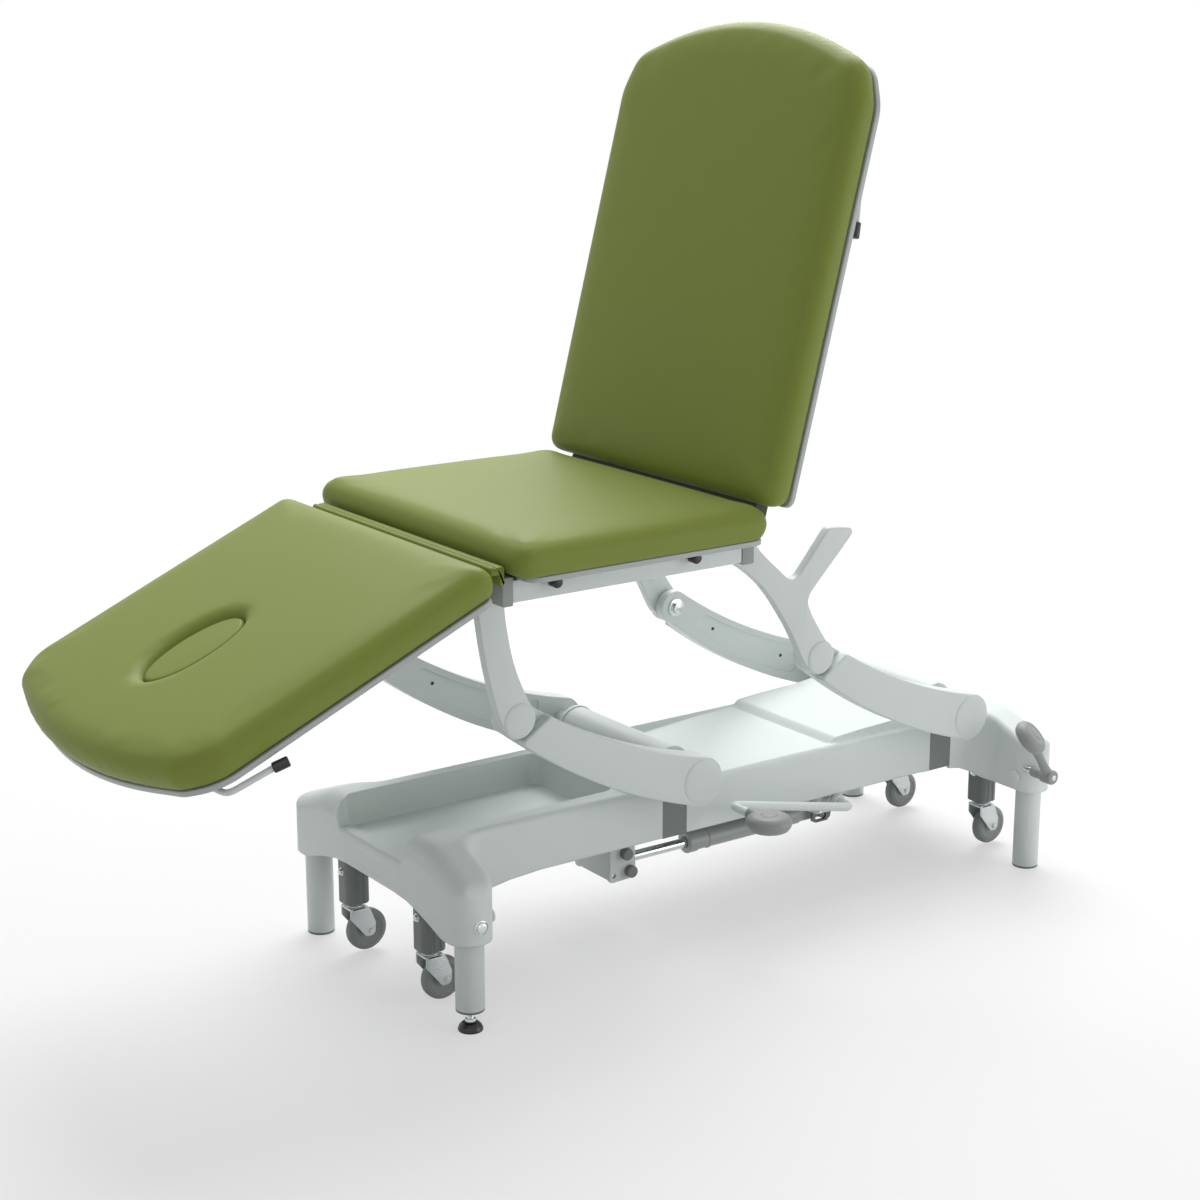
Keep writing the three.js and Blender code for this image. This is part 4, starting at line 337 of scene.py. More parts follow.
def capped(rings):
    """Points and faces of rings (rows, columns, 3) closed by a flat cap at both ends."""
    rows, columns, _ = rings.shape
    faces = grid_faces(rows, columns).tolist()
    faces.append(list(range(columns))[::-1])
    faces.append([(rows - 1) * columns + k for k in range(columns)])
    return rings.reshape(-1, 3), faces


def looped(rings):
    """Points and faces of rings whose last ring joins the first, such as round a hole."""
    rings = np.concatenate([rings, rings[:1]])
    return rings.reshape(-1, 3), grid_faces(len(rings), rings.shape[1]).tolist()


def mesh_of(name, shells, scale=MM):
    """One mesh of closed shells, doubles merged, which closes poles and seams, faces outwards."""
    points, faces, start = [], [], 0
    for some, sides in shells:
        points.append(np.asarray(some, dtype=float))
        faces += [[start + k for k in side] for side in sides]
        start += len(some)
    mesh = bpy.data.meshes.new(name)
    mesh.from_pydata((np.vstack(points) * scale).tolist(), [], faces)
    work = bmesh.new()
    work.from_mesh(mesh)
    bmesh.ops.remove_doubles(work, verts=work.verts, dist=1e-5)
    bmesh.ops.dissolve_degenerate(work, edges=work.edges, dist=1e-6)
    bmesh.ops.recalc_face_normals(work, faces=work.faces)
    work.to_mesh(mesh)
    work.free()
    return mesh


def declared(piece, body, slot, *replaced):
    """Hides the parts the piece replaces and puts it on the body it moves with; slot is not used."""
    if replaced:
        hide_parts(*replaced)
    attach(piece, body)
    return piece


def shown(name, mesh, material):
    """Puts a mesh into the scene as a smooth object with sharp creases and one material."""
    mesh.shade_smooth()
    mesh.set_sharp_from_angle(angle=SHARP)
    mesh.materials.clear()
    mesh.materials.append(material)
    piece = bpy.data.objects.new(name, mesh)
    bpy.context.scene.collection.objects.link(piece)
    return piece


def new_piece(name, shells, material, body, slot, *replaced):
    """A piece made of millimetre shells, on its body."""
    mesh = mesh_of(name, shells)
    mesh.transform(Matrix.Translation(BASE))
    return declared(shown(name, mesh, material), body, slot, *replaced)


def arc_through(a, b, c, count=33):
    """Points of the circle through a, b and c: its centre is where the upright bisectors of ab
    and bc meet, and the angle runs evenly from a past b to c."""
    a, b, c = (np.asarray(p, dtype=float) for p in (a, b, c))
    sides = 2 * np.array([b - a, c - b])
    centre = np.linalg.solve(sides, [b @ b - a @ a, c @ c - b @ b])
    angle = np.unwrap([math.atan2(*(p - centre)[::-1]) for p in (a, b, c)])
    turn = np.linspace(angle[0], angle[2], count)
    return centre + np.linalg.norm(a - centre) * np.stack([np.cos(turn), np.sin(turn)], axis=-1)


def arc(x, y, radius, start, stop, count=33):
    """Points (x, y) + radius * (cos t, sin t), with t from start to stop in degrees."""
    turn = np.radians(np.linspace(start, stop, count))
    return np.stack([x + radius * np.cos(turn), y + radius * np.sin(turn)], axis=-1)


def rounded_plan(corners, steps=13, closed=True):
    """A line whose corners (x, y, radius) are true arcs, tangent to both sides."""
    corners = np.asarray(corners, dtype=float)
    runs = []
    for k, corner in enumerate(corners):
        radius = corner[2]
        if radius <= 0 or (not closed and k in (0, len(corners) - 1)):
            runs.append(corner[None, :2])
            continue
        before, after = corners[k - 1], corners[(k + 1) % len(corners)]
        back = (before - corner)[:2] / np.linalg.norm((before - corner)[:2])
        on = (after - corner)[:2] / np.linalg.norm((after - corner)[:2])
        half = math.acos(np.clip(back @ on, -1, 1)) / 2
        centre = corner[:2] + (back + on) / np.linalg.norm(back + on) * radius / math.sin(half)
        start = corner[:2] + back * radius / math.tan(half) - centre
        stop = corner[:2] + on * radius / math.tan(half) - centre
        turn = math.atan2(start[0] * stop[1] - start[1] * stop[0], start @ stop)
        angle = math.atan2(start[1], start[0]) + turn * np.linspace(0, 1, steps)
        runs.append(centre + radius * np.stack([np.cos(angle), np.sin(angle)], axis=-1))
    return np.vstack(runs)


def rectangle(x0, x1, y0, y1, radius=0.0, steps=9):
    """A closed rectangle, its four corners rounded by the radius."""
    return rounded_plan([(x0, y0, radius), (x1, y0, radius), (x1, y1, radius), (x0, y1, radius)], steps)


def softened(outline, times=3):
    """The closed outline with its corners cut again and again: each side keeps its points at
    1/4 and 3/4, which tends to a smooth curve inside the corners."""
    for _ in range(times):
        after = np.roll(outline, -1, 0)
        pair = np.stack([0.75 * outline + 0.25 * after, 0.25 * outline + 0.75 * after], axis=1)
        outline = pair.reshape(-1, 2)
    return outline


def evenly(outline, count):
    """The closed outline again, as count points at equal distances along it."""
    closed = np.vstack([outline, outline[:1]])
    run = np.concatenate([[0.0], np.cumsum(np.linalg.norm(np.diff(closed, axis=0), axis=1))])
    at = np.linspace(0.0, run[-1], count, endpoint=False)
    return np.stack([np.interp(at, run, closed[:, k]) for k in (0, 1)], axis=-1)


def clean_loop(outline, least=0.02):
    """The closed outline turned counter-clockwise, without points that lie on one another."""
    gap = np.linalg.norm(outline - np.roll(outline, 1, 0), axis=1)
    outline = outline[gap > least]
    after = np.roll(outline, -1, 0)
    area = np.sum(outline[:, 0] * after[:, 1] - outline[:, 1] * after[:, 0])
    return outline if area > 0 else outline[::-1]


def inward(outline):
    """Offsets of one unit into a counter-clockwise outline: the mean of the two sides' inward
    normals, over the cosine of half the turn between them, held to at most two units."""
    side = np.roll(outline, -1, 0) - outline
    side /= np.linalg.norm(side, axis=1, keepdims=True)
    normal = np.stack([-side[:, 1], side[:, 0]], axis=-1)
    mean = normal + np.roll(normal, 1, 0)
    return mean / np.maximum(np.sum(mean**2, axis=1, keepdims=True) / 2, 0.5)


PLANES = {"xy": (0, 1, 2), "xz": (0, 2, 1), "yz": (1, 2, 0)}


def plate(outline, low, high, edge=0.0, plane="xy", steps=4, far_edge=None):
    """An outline carried straight from low to high. At each face the inset grows by
    edge * (1 - cos a) while the depth changes by edge * sin a, a quarter round."""
    outline = clean_loop(np.asarray(outline, dtype=float))
    edges = (edge, edge if far_edge is None else far_edge)
    angle = np.linspace(0.0, np.pi / 2, steps + 1)
    inset, level = [], []
    for radius, face, way in ((edges[0], low, 1), (edges[1], high, -1)):
        turn = (angle if way > 0 else angle[::-1]) if radius else np.array([np.pi / 2])
        inset.append(radius * (1 - np.sin(turn)))
        level.append(face + way * radius * (1 - np.cos(turn)))
    inset, level = np.concatenate(inset), np.concatenate(level)
    flat = outline[None] + inset[:, None, None] * inward(outline)[None]
    rings = np.empty((*flat.shape[:2], 3))
    first, second, third = PLANES[plane]
    rings[..., first], rings[..., second] = flat[..., 0], flat[..., 1]
    rings[..., third] = level[:, None]
    return capped(rings)


def sided(outline, inner, outer, side, edge=0.0, steps=4):
    """A plate in the XZ plane from inner to outer, on the near or the far side."""
    low, high = sorted((side * inner, side * outer))
    return plate(outline, low, high, edge, "xz", steps)


def block(x0, x1, y0, y1, z0, z1, edge=1.0):
    """A box with rounded edges."""
    return plate(rectangle(x0, x1, y0, y1, 1.5 * edge, 5), z0, z1, edge)


def turned(profile, axis, centre, sides=64):
    """A surface of revolution: each (radius, along) of the pole-ended profile is carried round
    the axis x, y or z through centre by angle a, to along * axis + radius * (cos a, sin a)."""
    profile = np.asarray(profile, dtype=float)
    angle = np.linspace(0.0, 2.0 * np.pi, sides, endpoint=False)
    radius, along = profile[:, 0], profile[:, 1]
    rings = np.empty((len(profile), sides, 3))
    first, second, third = {"x": (1, 2, 0), "y": (2, 0, 1), "z": (0, 1, 2)}[axis]
    rings[..., first] = radius[:, None] * np.cos(angle)
    rings[..., second] = radius[:, None] * np.sin(angle)
    rings[..., third] = along[:, None]
    points = (rings + np.asarray(centre, dtype=float)).reshape(-1, 3)
    return points, grid_faces(len(profile), sides).tolist()


def bar(radius, start, stop, axis, centre, edge=1.0, sides=64):
    """A round bar with quarter round edges."""
    corners = [(0, start, 0), (radius, start, edge), (radius, stop, edge), (0, stop, 0)]
    return turned(rounded_plan(corners, 5, closed=False), axis, centre, sides)


def ring(inner, outer, start, stop, axis, centre, edge=1.0, sides=64):
    """A washer or collar: a rectangle with quarter round corners carried round the axis."""
    profile = rounded_plan([(inner, start, edge), (outer, start, edge), (outer, stop, edge),
                            (inner, stop, edge)], 5)
    points, _ = turned(np.vstack([profile, profile[:1]]), axis, centre, sides)
    return points, grid_faces(len(profile) + 1, sides).tolist()


def hexagon(across, start, stop, axis, centre, edge=0.8):
    """A hexagon head across its flats, its corners a little rounded and both of its ends given a quarter
    round edge.
    """
    outline = arc(0, 0, across / math.sqrt(3), 30, 330, 6)
    shape = plate(rounded_plan([(*p, 0.6) for p in outline], 4), start, stop, edge)
    points = np.asarray(shape[0])
    order = {"x": (2, 0, 1), "y": (1, 2, 0), "z": (0, 1, 2)}[axis]
    return points[:, order] + np.asarray(centre, dtype=float), shape[1]


def bent_line(corners, bend, steps=9):
    """Straight runs between corners in space, each corner replaced by the quadratic curve
    (1-t)^2 start + 2t(1-t) corner + t^2 stop that starts bend before it."""
    corners = np.asarray(corners, dtype=float)
    share = np.linspace(0.0, 1.0, steps)[:, None]
    runs = [corners[:1]]
    for before, corner, after in zip(corners[:-2], corners[1:-1], corners[2:]):
        back, on = before - corner, after - corner
        start = corner + back * min(bend / np.linalg.norm(back), 0.5)
        stop = corner + on * min(bend / np.linalg.norm(on), 0.5)
        runs.append((1 - share) ** 2 * start + 2 * share * (1 - share) * corner + share**2 * stop)
    path = np.vstack([*runs, corners[-1:]])
    return path[np.append(True, np.linalg.norm(np.diff(path, axis=0), axis=1) > 1e-6)]


def rod(corners, bend, radius, end=1.0, sides=40):
    """A round rod along a bent line: circles across the path, whose ends shrink by a quarter
    round of the given size. radius is one number."""
    path = bent_line(corners, bend)
    along = np.gradient(path, axis=0)
    along /= np.linalg.norm(along, axis=1, keepdims=True)
    turn = np.linspace(np.pi / 2, 0.0, 5)[:, None]
    head = path[0] + along[0] * end * (1 - np.sin(turn))
    tail = path[-1] - along[-1] * end * (1 - np.sin(turn[::-1]))
    path = np.vstack([head, path[1:-1], tail])
    radii = np.full(len(path), float(radius))
    radii[:5] -= end * (1 - np.cos(turn[:, 0]))
    radii[-5:] -= end * (1 - np.cos(turn[::-1, 0]))
    along = np.vstack([[along[0]] * 5, along[1:-1], [along[-1]] * 5])
    spare = np.array([0.0, 0.0, 1.0]) if abs(along[:, 2]).max() < 0.95 else np.array([0.6, 0.8, 0.0])
    aside = np.cross(along, spare)
    aside /= np.linalg.norm(aside, axis=1, keepdims=True)
    over = np.cross(aside, along)
    angle = np.linspace(0.0, 2.0 * np.pi, sides, endpoint=False)[None, :, None]
    around = np.cos(angle) * aside[:, None] + np.sin(angle) * over[:, None]
    return capped(path[:, None] + radii[:, None, None] * around)


def moved(shell, to_frame):
    """The shell with its points taken into the frame."""
    return to_frame(np.asarray(shell[0], dtype=float)), shell[1]


def settle(piece):
    """Writes what the modifiers make of the piece into its mesh and drops them."""
    graph = bpy.context.evaluated_depsgraph_get()
    mesh = bpy.data.meshes.new_from_object(piece.evaluated_get(graph))
    piece.modifiers.clear()
    old, piece.data = piece.data, mesh
    bpy.data.meshes.remove(old)


def carved(piece, *shells):
    """Cuts shells out of the piece."""
    tool = bpy.data.objects.new("tool", mesh_of("tool", shells))
    tool.data.transform(Matrix.Translation(BASE))
    bpy.context.scene.collection.objects.link(tool)
    cut = piece.modifiers.new("cut", "BOOLEAN")
    cut.operation, cut.solver, cut.object = "DIFFERENCE", "EXACT", tool
    cut.use_self = True
    settle(piece)
    bpy.data.objects.remove(tool)
    piece.data.shade_smooth()
    piece.data.set_sharp_from_angle(angle=SHARP)
    return piece


def fused(piece, voxel, smoothing):
    """Melts the piece's shells into one skin: an even mesh of the given fineness, then evened
    out a number of times."""
    melt = piece.modifiers.new("even mesh", "REMESH")
    melt.mode = "VOXEL"
    melt.voxel_size = voxel * MM
    melt.use_smooth_shade = True
    even = piece.modifiers.new("evened", "SMOOTH")
    even.factor = 0.5
    even.iterations = smoothing
    settle(piece)
    piece.data.shade_smooth()
    return piece


def finer(node, edge=1.0, flat_angle=0.6):
    """The node's own shape, merged to whole faces, its edges rounded and its curves smooth."""
    source = nodes[node]
    mesh = source.data.copy()
    work = bmesh.new()
    work.from_mesh(mesh)
    bmesh.ops.remove_doubles(work, verts=work.verts, dist=2e-5)
    bmesh.ops.dissolve_limit(
        work, angle_limit=math.radians(flat_angle), verts=work.verts, edges=work.edges
    )
    bmesh.ops.recalc_face_normals(work, faces=work.faces)
    work.to_mesh(mesh)
    work.free()
    for layer in list(mesh.uv_layers):
        mesh.uv_layers.remove(layer)
    piece = shown(node + "_fine", mesh, source.material_slots[0].material)
    if edge:
        bevel = piece.modifiers.new("rounded edges", "BEVEL")
        bevel.width = edge * MM
        bevel.segments = 2
        bevel.limit_method = "ANGLE"
        bevel.angle_limit = SHARP
        bevel.harden_normals = True
    return declared(piece, BODY_OF[node], SLOT_OF[node], node)


# Hinged sections: along, across and up from the underside of the board
LEG_HINGE, LEG_HINGE_IN_SECTION, LEG_TILT = (-600.03, 741.97), (-20.3, 9.6), math.radians(23.7)
BACK_HINGE, BACK_HINGE_IN_SECTION, BACK_LEAN = (-52.03, 748.67), (-72.7, 8.2), math.radians(75.3)


def on_leg_section(points):
    """Section coordinates to the maker's frame: turned end for end about Z, then tipped down
    by the tilt about the hinge."""
    along, across, up = np.asarray(points, dtype=float).T
    u, h = along - LEG_HINGE_IN_SECTION[0], up - LEG_HINGE_IN_SECTION[1]
    x = LEG_HINGE[0] - u * math.cos(LEG_TILT) - h * math.sin(LEG_TILT)
    z = LEG_HINGE[1] - u * math.sin(LEG_TILT) + h * math.cos(LEG_TILT)
    return np.stack([x, -across, z], axis=-1)


def on_backrest(points):
    """Section coordinates to the maker's frame: tipped up by the lean about the hinge."""
    along, across, up = np.asarray(points, dtype=float).T
    u, h = along - BACK_HINGE_IN_SECTION[0], up - BACK_HINGE_IN_SECTION[1]
    x = BACK_HINGE[0] + u * math.cos(BACK_LEAN) - h * math.sin(BACK_LEAN)
    z = BACK_HINGE[1] + u * math.sin(BACK_LEAN) + h * math.cos(BACK_LEAN)
    return np.stack([x, across, z], axis=-1)


def laid_flat(points):
    return points


# Padding
HALF_WIDTH = 328.0
BOARD = 10.0
FOAM_LOW, FOAM_HIGH = 10.3, 70.3
SEAT_LOW, SEAT_HIGH = 750.96, 810.96
BOARD_INSET = 8.0
PAD_ROUND = 30.0
PAD_TUCK = 8.0
PAD_CROWN = 4.0
PAD_SLACK = 0.5  # the pad starts this much smaller, and its stuffing fills it out
HOLE = {"middle": 359.0, "long": 92.0, "wide": 50.0, "lip": 17.0}
PAD_VOXEL = 7.0
PAD_PRESSURE = 4.0
PAD_SWELL, PAD_SINK = 3.5, 0.2
HELD = 2.0  # the cover is held to the board up to this height


def section_plan(start, corner, shoulder, cheek, reach, inset=0.0):
    """A hinged section's plan: a square end at the hinge, rounded shoulders, rounded cheeks and
    a nose bowed on the circle through both cheeks and the tip."""
    half = HALF_WIDTH - inset
    x, side = shoulder[0] + cheek[0] - inset, half - cheek[1]
    nose = arc_through((x - 2, 2 - side), (reach - inset, 0), (x - 2, side - 2), 60)[1:-1]
    near = rounded_plan([(start, -half, corner), (shoulder[0], -half, shoulder[1]), (x, -side, cheek[2]),
                         (*nose[6], 0)], 13, closed=False)
    near = np.vstack([rounded_plan([(start, 0, 0), (start, -half, corner), (shoulder[0], -half, 0)],
                                   closed=False)[1:-1],
                      near[2:-1]])
    far = near[::-1] * (1, -1)
    return np.vstack([near, nose[6:-6], far])


def leg_plan(start, inset=0.0):
    """The leg section seen from above, from its hinge to the foot end."""
    return section_plan(start, 25 - inset, (512, 80), (48, 46, 30), 611, inset)


def back_plan(start, inset=0.0):
    """The backrest seen square on, from its hinge to the head end."""
    return section_plan(start, 26 - inset, (644, 90), (70, 31, 60), 775, inset)


def pad_rings(outline, bottom, top):
    """Rings up the side of a pad: inset falls from the tuck by a cosine up to half height, then
    grows again by 1 - cos a while the height grows by sin a, a quarter circle over the top."""
    rim = top - PAD_CROWN - PAD_SLACK
    rise = np.linspace(0.0, 1.0, 7)[:-1]
    low = PAD_TUCK * (0.5 + 0.5 * np.cos(np.pi * rise))
    angle = np.linspace(0.0, np.pi / 2, 11)
    inset = np.concatenate([low, PAD_ROUND * (1 - np.cos(angle))]) + PAD_SLACK
    shoulder = rim - PAD_ROUND
    height = np.concatenate([bottom + (shoulder - bottom) * rise, shoulder + PAD_ROUND * np.sin(angle)])
    flat = outline[None] + inset[:, None, None] * inward(outline)[None]
    level = np.broadcast_to(height[:, None, None], (*flat.shape[:2], 1))
    return np.concatenate([flat, level], axis=-1)


def hole_rings(outline, bottom, top, lip=HOLE["lip"], grow=0.0):
    """Rings down a breathing hole: ellipses at the outline's own polar angles, the lip's quarter
    circle turning from the face into the hole, then straight down."""
    angle = np.arctan2(outline[:, 1], outline[:, 0] - HOLE["middle"])
    reach = 1.0 / np.hypot(np.cos(angle) / (HOLE["long"] + grow), np.sin(angle) / (HOLE["wide"] + grow))
    turn = np.linspace(np.pi / 2, 0.0, 9)
    widen = np.append(lip * (1 - np.cos(turn)), 0.0)
    height = np.append(top - lip * (1 - np.sin(turn)), bottom)
    radius = reach[None] + widen[:, None]
    level = np.broadcast_to(height[:, None], radius.shape)
    along = HOLE["middle"] + radius * np.cos(angle)
    return np.stack([along, radius * np.sin(angle), level], axis=-1)


def vertex_places(mesh):
    places = np.empty(len(mesh.vertices) * 3)
    mesh.vertices.foreach_get("co", places)
    return places.reshape(-1, 3)


def crowned(points, outline_box, top):
    """Lifts the top face by up to the crown: crown * (1 - u^4) * (1 - v^4), where u and v run
    from -1 to 1 across the pad's box, faded in over the last part of the height."""
    low, high = outline_box
    u, v = ((points[:, k] - (low[k] + high[k]) / 2) / ((high[k] - low[k]) / 2) for k in (0, 1))
    dome = PAD_CROWN * np.clip(1 - u**4, 0, 1) * np.clip(1 - v**4, 0, 1)
    share = np.clip((points[:, 2] - (top - PAD_CROWN - 12)) / 12, 0, 1)
    points[:, 2] += dome * share
    return points


def inflate(piece, board):
    """Cloth under inside pressure with no gravity, held where it meets the board. Each point's
    way is cut to PAD_SWELL: place + way * min(1, PAD_SWELL / |way|), and to the share PAD_SINK
    of that where it leads inwards, because the foam keeps the corners full."""
    start = vertex_places(piece.data)
    outward = np.empty(start.size)
    piece.data.vertex_normals.foreach_get("vector", outward)
    outward = outward.reshape(-1, 3)
    held = piece.vertex_groups.new(name="held")
    held.add(np.flatnonzero(start[:, 2] < board + HELD * MM).tolist(), 1.0, "REPLACE")
    cloth = piece.modifiers.new("cover", "CLOTH")
    cloth.settings.vertex_group_mass = held.name
    cloth.settings.use_pressure = True
    cloth.settings.uniform_pressure_force = PAD_PRESSURE
    cloth.settings.effector_weights.gravity = 0.0
    cloth.settings.tension_stiffness = cloth.settings.compression_stiffness = 30.0
    scene = bpy.context.scene
    for step in range(1, 21):
        scene.frame_set(step)
    settle(piece)
    scene.frame_set(1)
    way = vertex_places(piece.data) - start
    length = np.linalg.norm(way, axis=1, keepdims=True)
    capped_way = way * np.minimum(1.0, PAD_SWELL * MM / np.maximum(length, 1e-9))
    capped_way[np.sum(way * outward, axis=1) < 0] *= PAD_SINK
    piece.data.vertices.foreach_set("co", (start + capped_way).ravel())
    piece.vertex_groups.clear()


def stuffed(name, outline, bottom, top, place, node, hole=False):
    """A padded section: a slightly slack cover, remeshed evenly, blown up against the board that
    holds its underside, its swelling capped, then crowned and laid in its place."""
    sides = pad_rings(outline, bottom, top)
    if hole:
        shell = looped(np.concatenate([sides, hole_rings(outline, bottom, top - PAD_CROWN - PAD_SLACK)]))
    else:
        shell = capped(sides)
    piece = bpy.data.objects.new(name, mesh_of(name, [shell]))
    bpy.context.scene.collection.objects.link(piece)
    remesh = piece.modifiers.new("even mesh", "REMESH")
    remesh.mode = "VOXEL"
    remesh.voxel_size = PAD_VOXEL * MM
    remesh.use_smooth_shade = True
    settle(piece)
    inflate(piece, bottom * MM)
    local = crowned(vertex_places(piece.data) / MM, (outline.min(axis=0), outline.max(axis=0)), top)
    piece.data.vertices.foreach_set("co", in_place(place(local)).ravel())
    piece.data.update()
    piece.data.shade_smooth()
    piece.data.materials.clear()
    piece.data.materials.append(VINYL)
    smooth = piece.modifiers.new("evened", "SMOOTH")
    smooth.factor = 0.5
    smooth.iterations = 4
    finer_skin = piece.modifiers.new("fine surface", "SUBSURF")
    finer_skin.levels = finer_skin.render_levels = 1
    declared(piece, BODY_OF[node], "vinyl", node)
    return piece


SEAT_OUTLINE = rectangle(-575, -74, -HALF_WIDTH, HALF_WIDTH, 32, 13)
stuffed("seat_pad", evenly(SEAT_OUTLINE, 340), SEAT_LOW, SEAT_HIGH, laid_flat, "seat_cushion")
stuffed("leg_pad", evenly(leg_plan(-16.3), 400), FOAM_LOW, FOAM_HIGH, on_leg_section, "leg_cushion",
        hole=True)
stuffed("backrest_pad", evenly(back_plan(-27.6), 440), FOAM_LOW, FOAM_HIGH, on_backrest,
        "backrest_cushion")


def small_pad(name, shells, body, node, finish=VINYL):
    """A small stuffed piece, too thin for the remesh: its shells as they are."""
    piece = new_piece(name, shells, finish, body, "vinyl", node)
    return piece


PLUG = {"long": 91.0, "wide": 49.0, "foot": 2.0, "top": 63.0, "edge": 7.0, "dome": 1.4}


def breathing_plug():
    """An oval pad in its hole: ellipses up the side, a quarter round over the edge, then a
    shallow dome to its middle, height = top + dome * (1 - share^2)."""
    angle = np.linspace(0, 2 * np.pi, 96, endpoint=False)
    turn = np.linspace(0, np.pi / 2, 7)
    inset = np.concatenate([[4.0, 0.0], PLUG["edge"] * (1 - np.cos(turn))])
    rim = PLUG["top"] - PLUG["edge"]
    height = np.concatenate([[PLUG["foot"], PLUG["foot"] + 6], rim + PLUG["edge"] * np.sin(turn)])
    share = np.linspace(1, 0, 9)[1:]
    shrink = share * (PLUG["wide"] - PLUG["edge"])
    inset = np.concatenate([inset, PLUG["wide"] - shrink])
    height = np.concatenate([height, PLUG["top"] + PLUG["dome"] * (1 - share**2)])
    wide = np.maximum(PLUG["wide"] - inset, 0.0)
    long = wide * np.where(inset > PLUG["edge"] + 1e-6,
                           (PLUG["long"] - PLUG["edge"]) / (PLUG["wide"] - PLUG["edge"]), 1.0)
    straight = inset <= PLUG["edge"] + 1e-6
    long[straight] = PLUG["long"] - inset[straight]
    rings = np.empty((len(inset), 96, 3))
    rings[..., 0] = HOLE["middle"] + long[:, None] * np.cos(angle)
    rings[..., 1] = wide[:, None] * np.sin(angle)
    rings[..., 2] = height[:, None]
    points, faces = capped(rings)
    return on_leg_section(points), faces


small_pad("breathing_pad", [breathing_plug()], "plug", "breathing_plug")

STRIP = [(14, 0, 0), (23, 0, 0.5), (23, 30, 5), (9, 29, 2), (7, 26, 1.5), (5, 29.5, 2),
         (-2.5, 30, 5), (-2.5, 16, 3), (14, 16, 0.5)]
STRIP_HALF, STRIP_LOW = 285.0, 740.97
strip_outline = rounded_plan(STRIP, 9) + (LEG_HINGE[0], STRIP_LOW)
small_pad("hinge_strip_roll", [plate(strip_outline, -STRIP_HALF, STRIP_HALF, 3.2, "xz")], "platform",
          "hinge_strip")
BACK_STRIP = [(-50, 10.2, 0.5), (-20, 10.2, 0.5), (-24, 36, 3), (-33, 38, 4), (-50, 26, 4)]
BACK_STRIP_HALF = 268.0
back_strip = plate(rounded_plan(BACK_STRIP, 9), -BACK_STRIP_HALF, BACK_STRIP_HALF, 1.2, "xz")
# The strip takes the darker vinyl: painted shade in the gap between the pads.
small_pad("backrest_strip_roll", [moved(back_strip, on_backrest)], "backrest", "backrest_strip",
          GAP_SHADE_VINYL)


# Boards under the padding
def board_shell(outline, place):
    return moved(plate(outline, 0.0, BOARD, 2.5), place)


def leg_board():
    """The leg section's board as nested rings from its rim to the breathing hole."""
    outline = clean_loop(evenly(leg_plan(0.0, BOARD_INSET), 400))
    round_edge = 2.5
    angle = np.linspace(0, np.pi / 2, 5)
    inset = round_edge * (1 - np.sin(np.append(angle, angle[::-1])))
    rise = round_edge * (1 - np.cos(angle))
    level = np.append(rise, BOARD - rise[::-1])
    flat = outline[None] + inset[:, None, None] * inward(outline)[None]
    outer = np.concatenate([flat, np.broadcast_to(level[:, None, None], (*flat.shape[:2], 1))], axis=-1)
    inner = hole_rings(outline, 0.0, BOARD, lip=1.0)
    points, faces = looped(np.concatenate([outer, inner]))
    return on_leg_section(points), faces


new_piece("leg_base_board", [leg_board()], BOARD_EDGE, "leg_section", "board_edge", "leg_board")
new_piece("backrest_base_board", [board_shell(back_plan(-22.0, BOARD_INSET), on_backrest)], BOARD_EDGE,
          "backrest", "board_edge", "backrest_board")
SEAT_BOARD_TOP = 750.66
SEAT_BOARD_OUTLINE = rectangle(-544.03, -78, -310, 310, 24, 13)
new_piece("seat_base_board", [plate(SEAT_BOARD_OUTLINE, SEAT_BOARD_TOP - 9.4, SEAT_BOARD_TOP, 2.0)],
          BOARD_EDGE, "platform", "board_edge", "seat_board")


# Lift arms and the platform's uprights
ARM_LENGTH, ARM_ANGLE = 408.3, math.radians(25.53)
PIVOT_SPACING, FOOT_PIVOT_X, LOWER_PIVOT_Z = 630.9, -147.6, 320.5
PIVOTS = {"foot": FOOT_PIVOT_X, "head": FOOT_PIVOT_X + PIVOT_SPACING}
UPPER = ARM_LENGTH * np.array([-math.cos(ARM_ANGLE), math.sin(ARM_ANGLE)]) + (FOOT_PIVOT_X, LOWER_PIVOT_Z)
ARM_INNER, ARM_OUTER, TONGUE_OUTER = 190.0, 234.0, 211.7
ARM_ROOT, ARM_TIP, ARM_WAIST, ARM_BELLY = 44.0, 31.0, 17.0, -58.0
UPRIGHT_INNER, UPRIGHT_OUTER = 212.0, 230.0


def along_arm(points, pivot):
    """Points along and off an arm's axis to X and Z, the arm rising from its pivot to the foot."""
    along, off = np.asarray(points, dtype=float).T
    c, s = math.cos(ARM_ANGLE), math.sin(ARM_ANGLE)
    return np.stack([pivot - along * c + off * s, LOWER_PIVOT_Z + along * s + off * c], axis=-1)


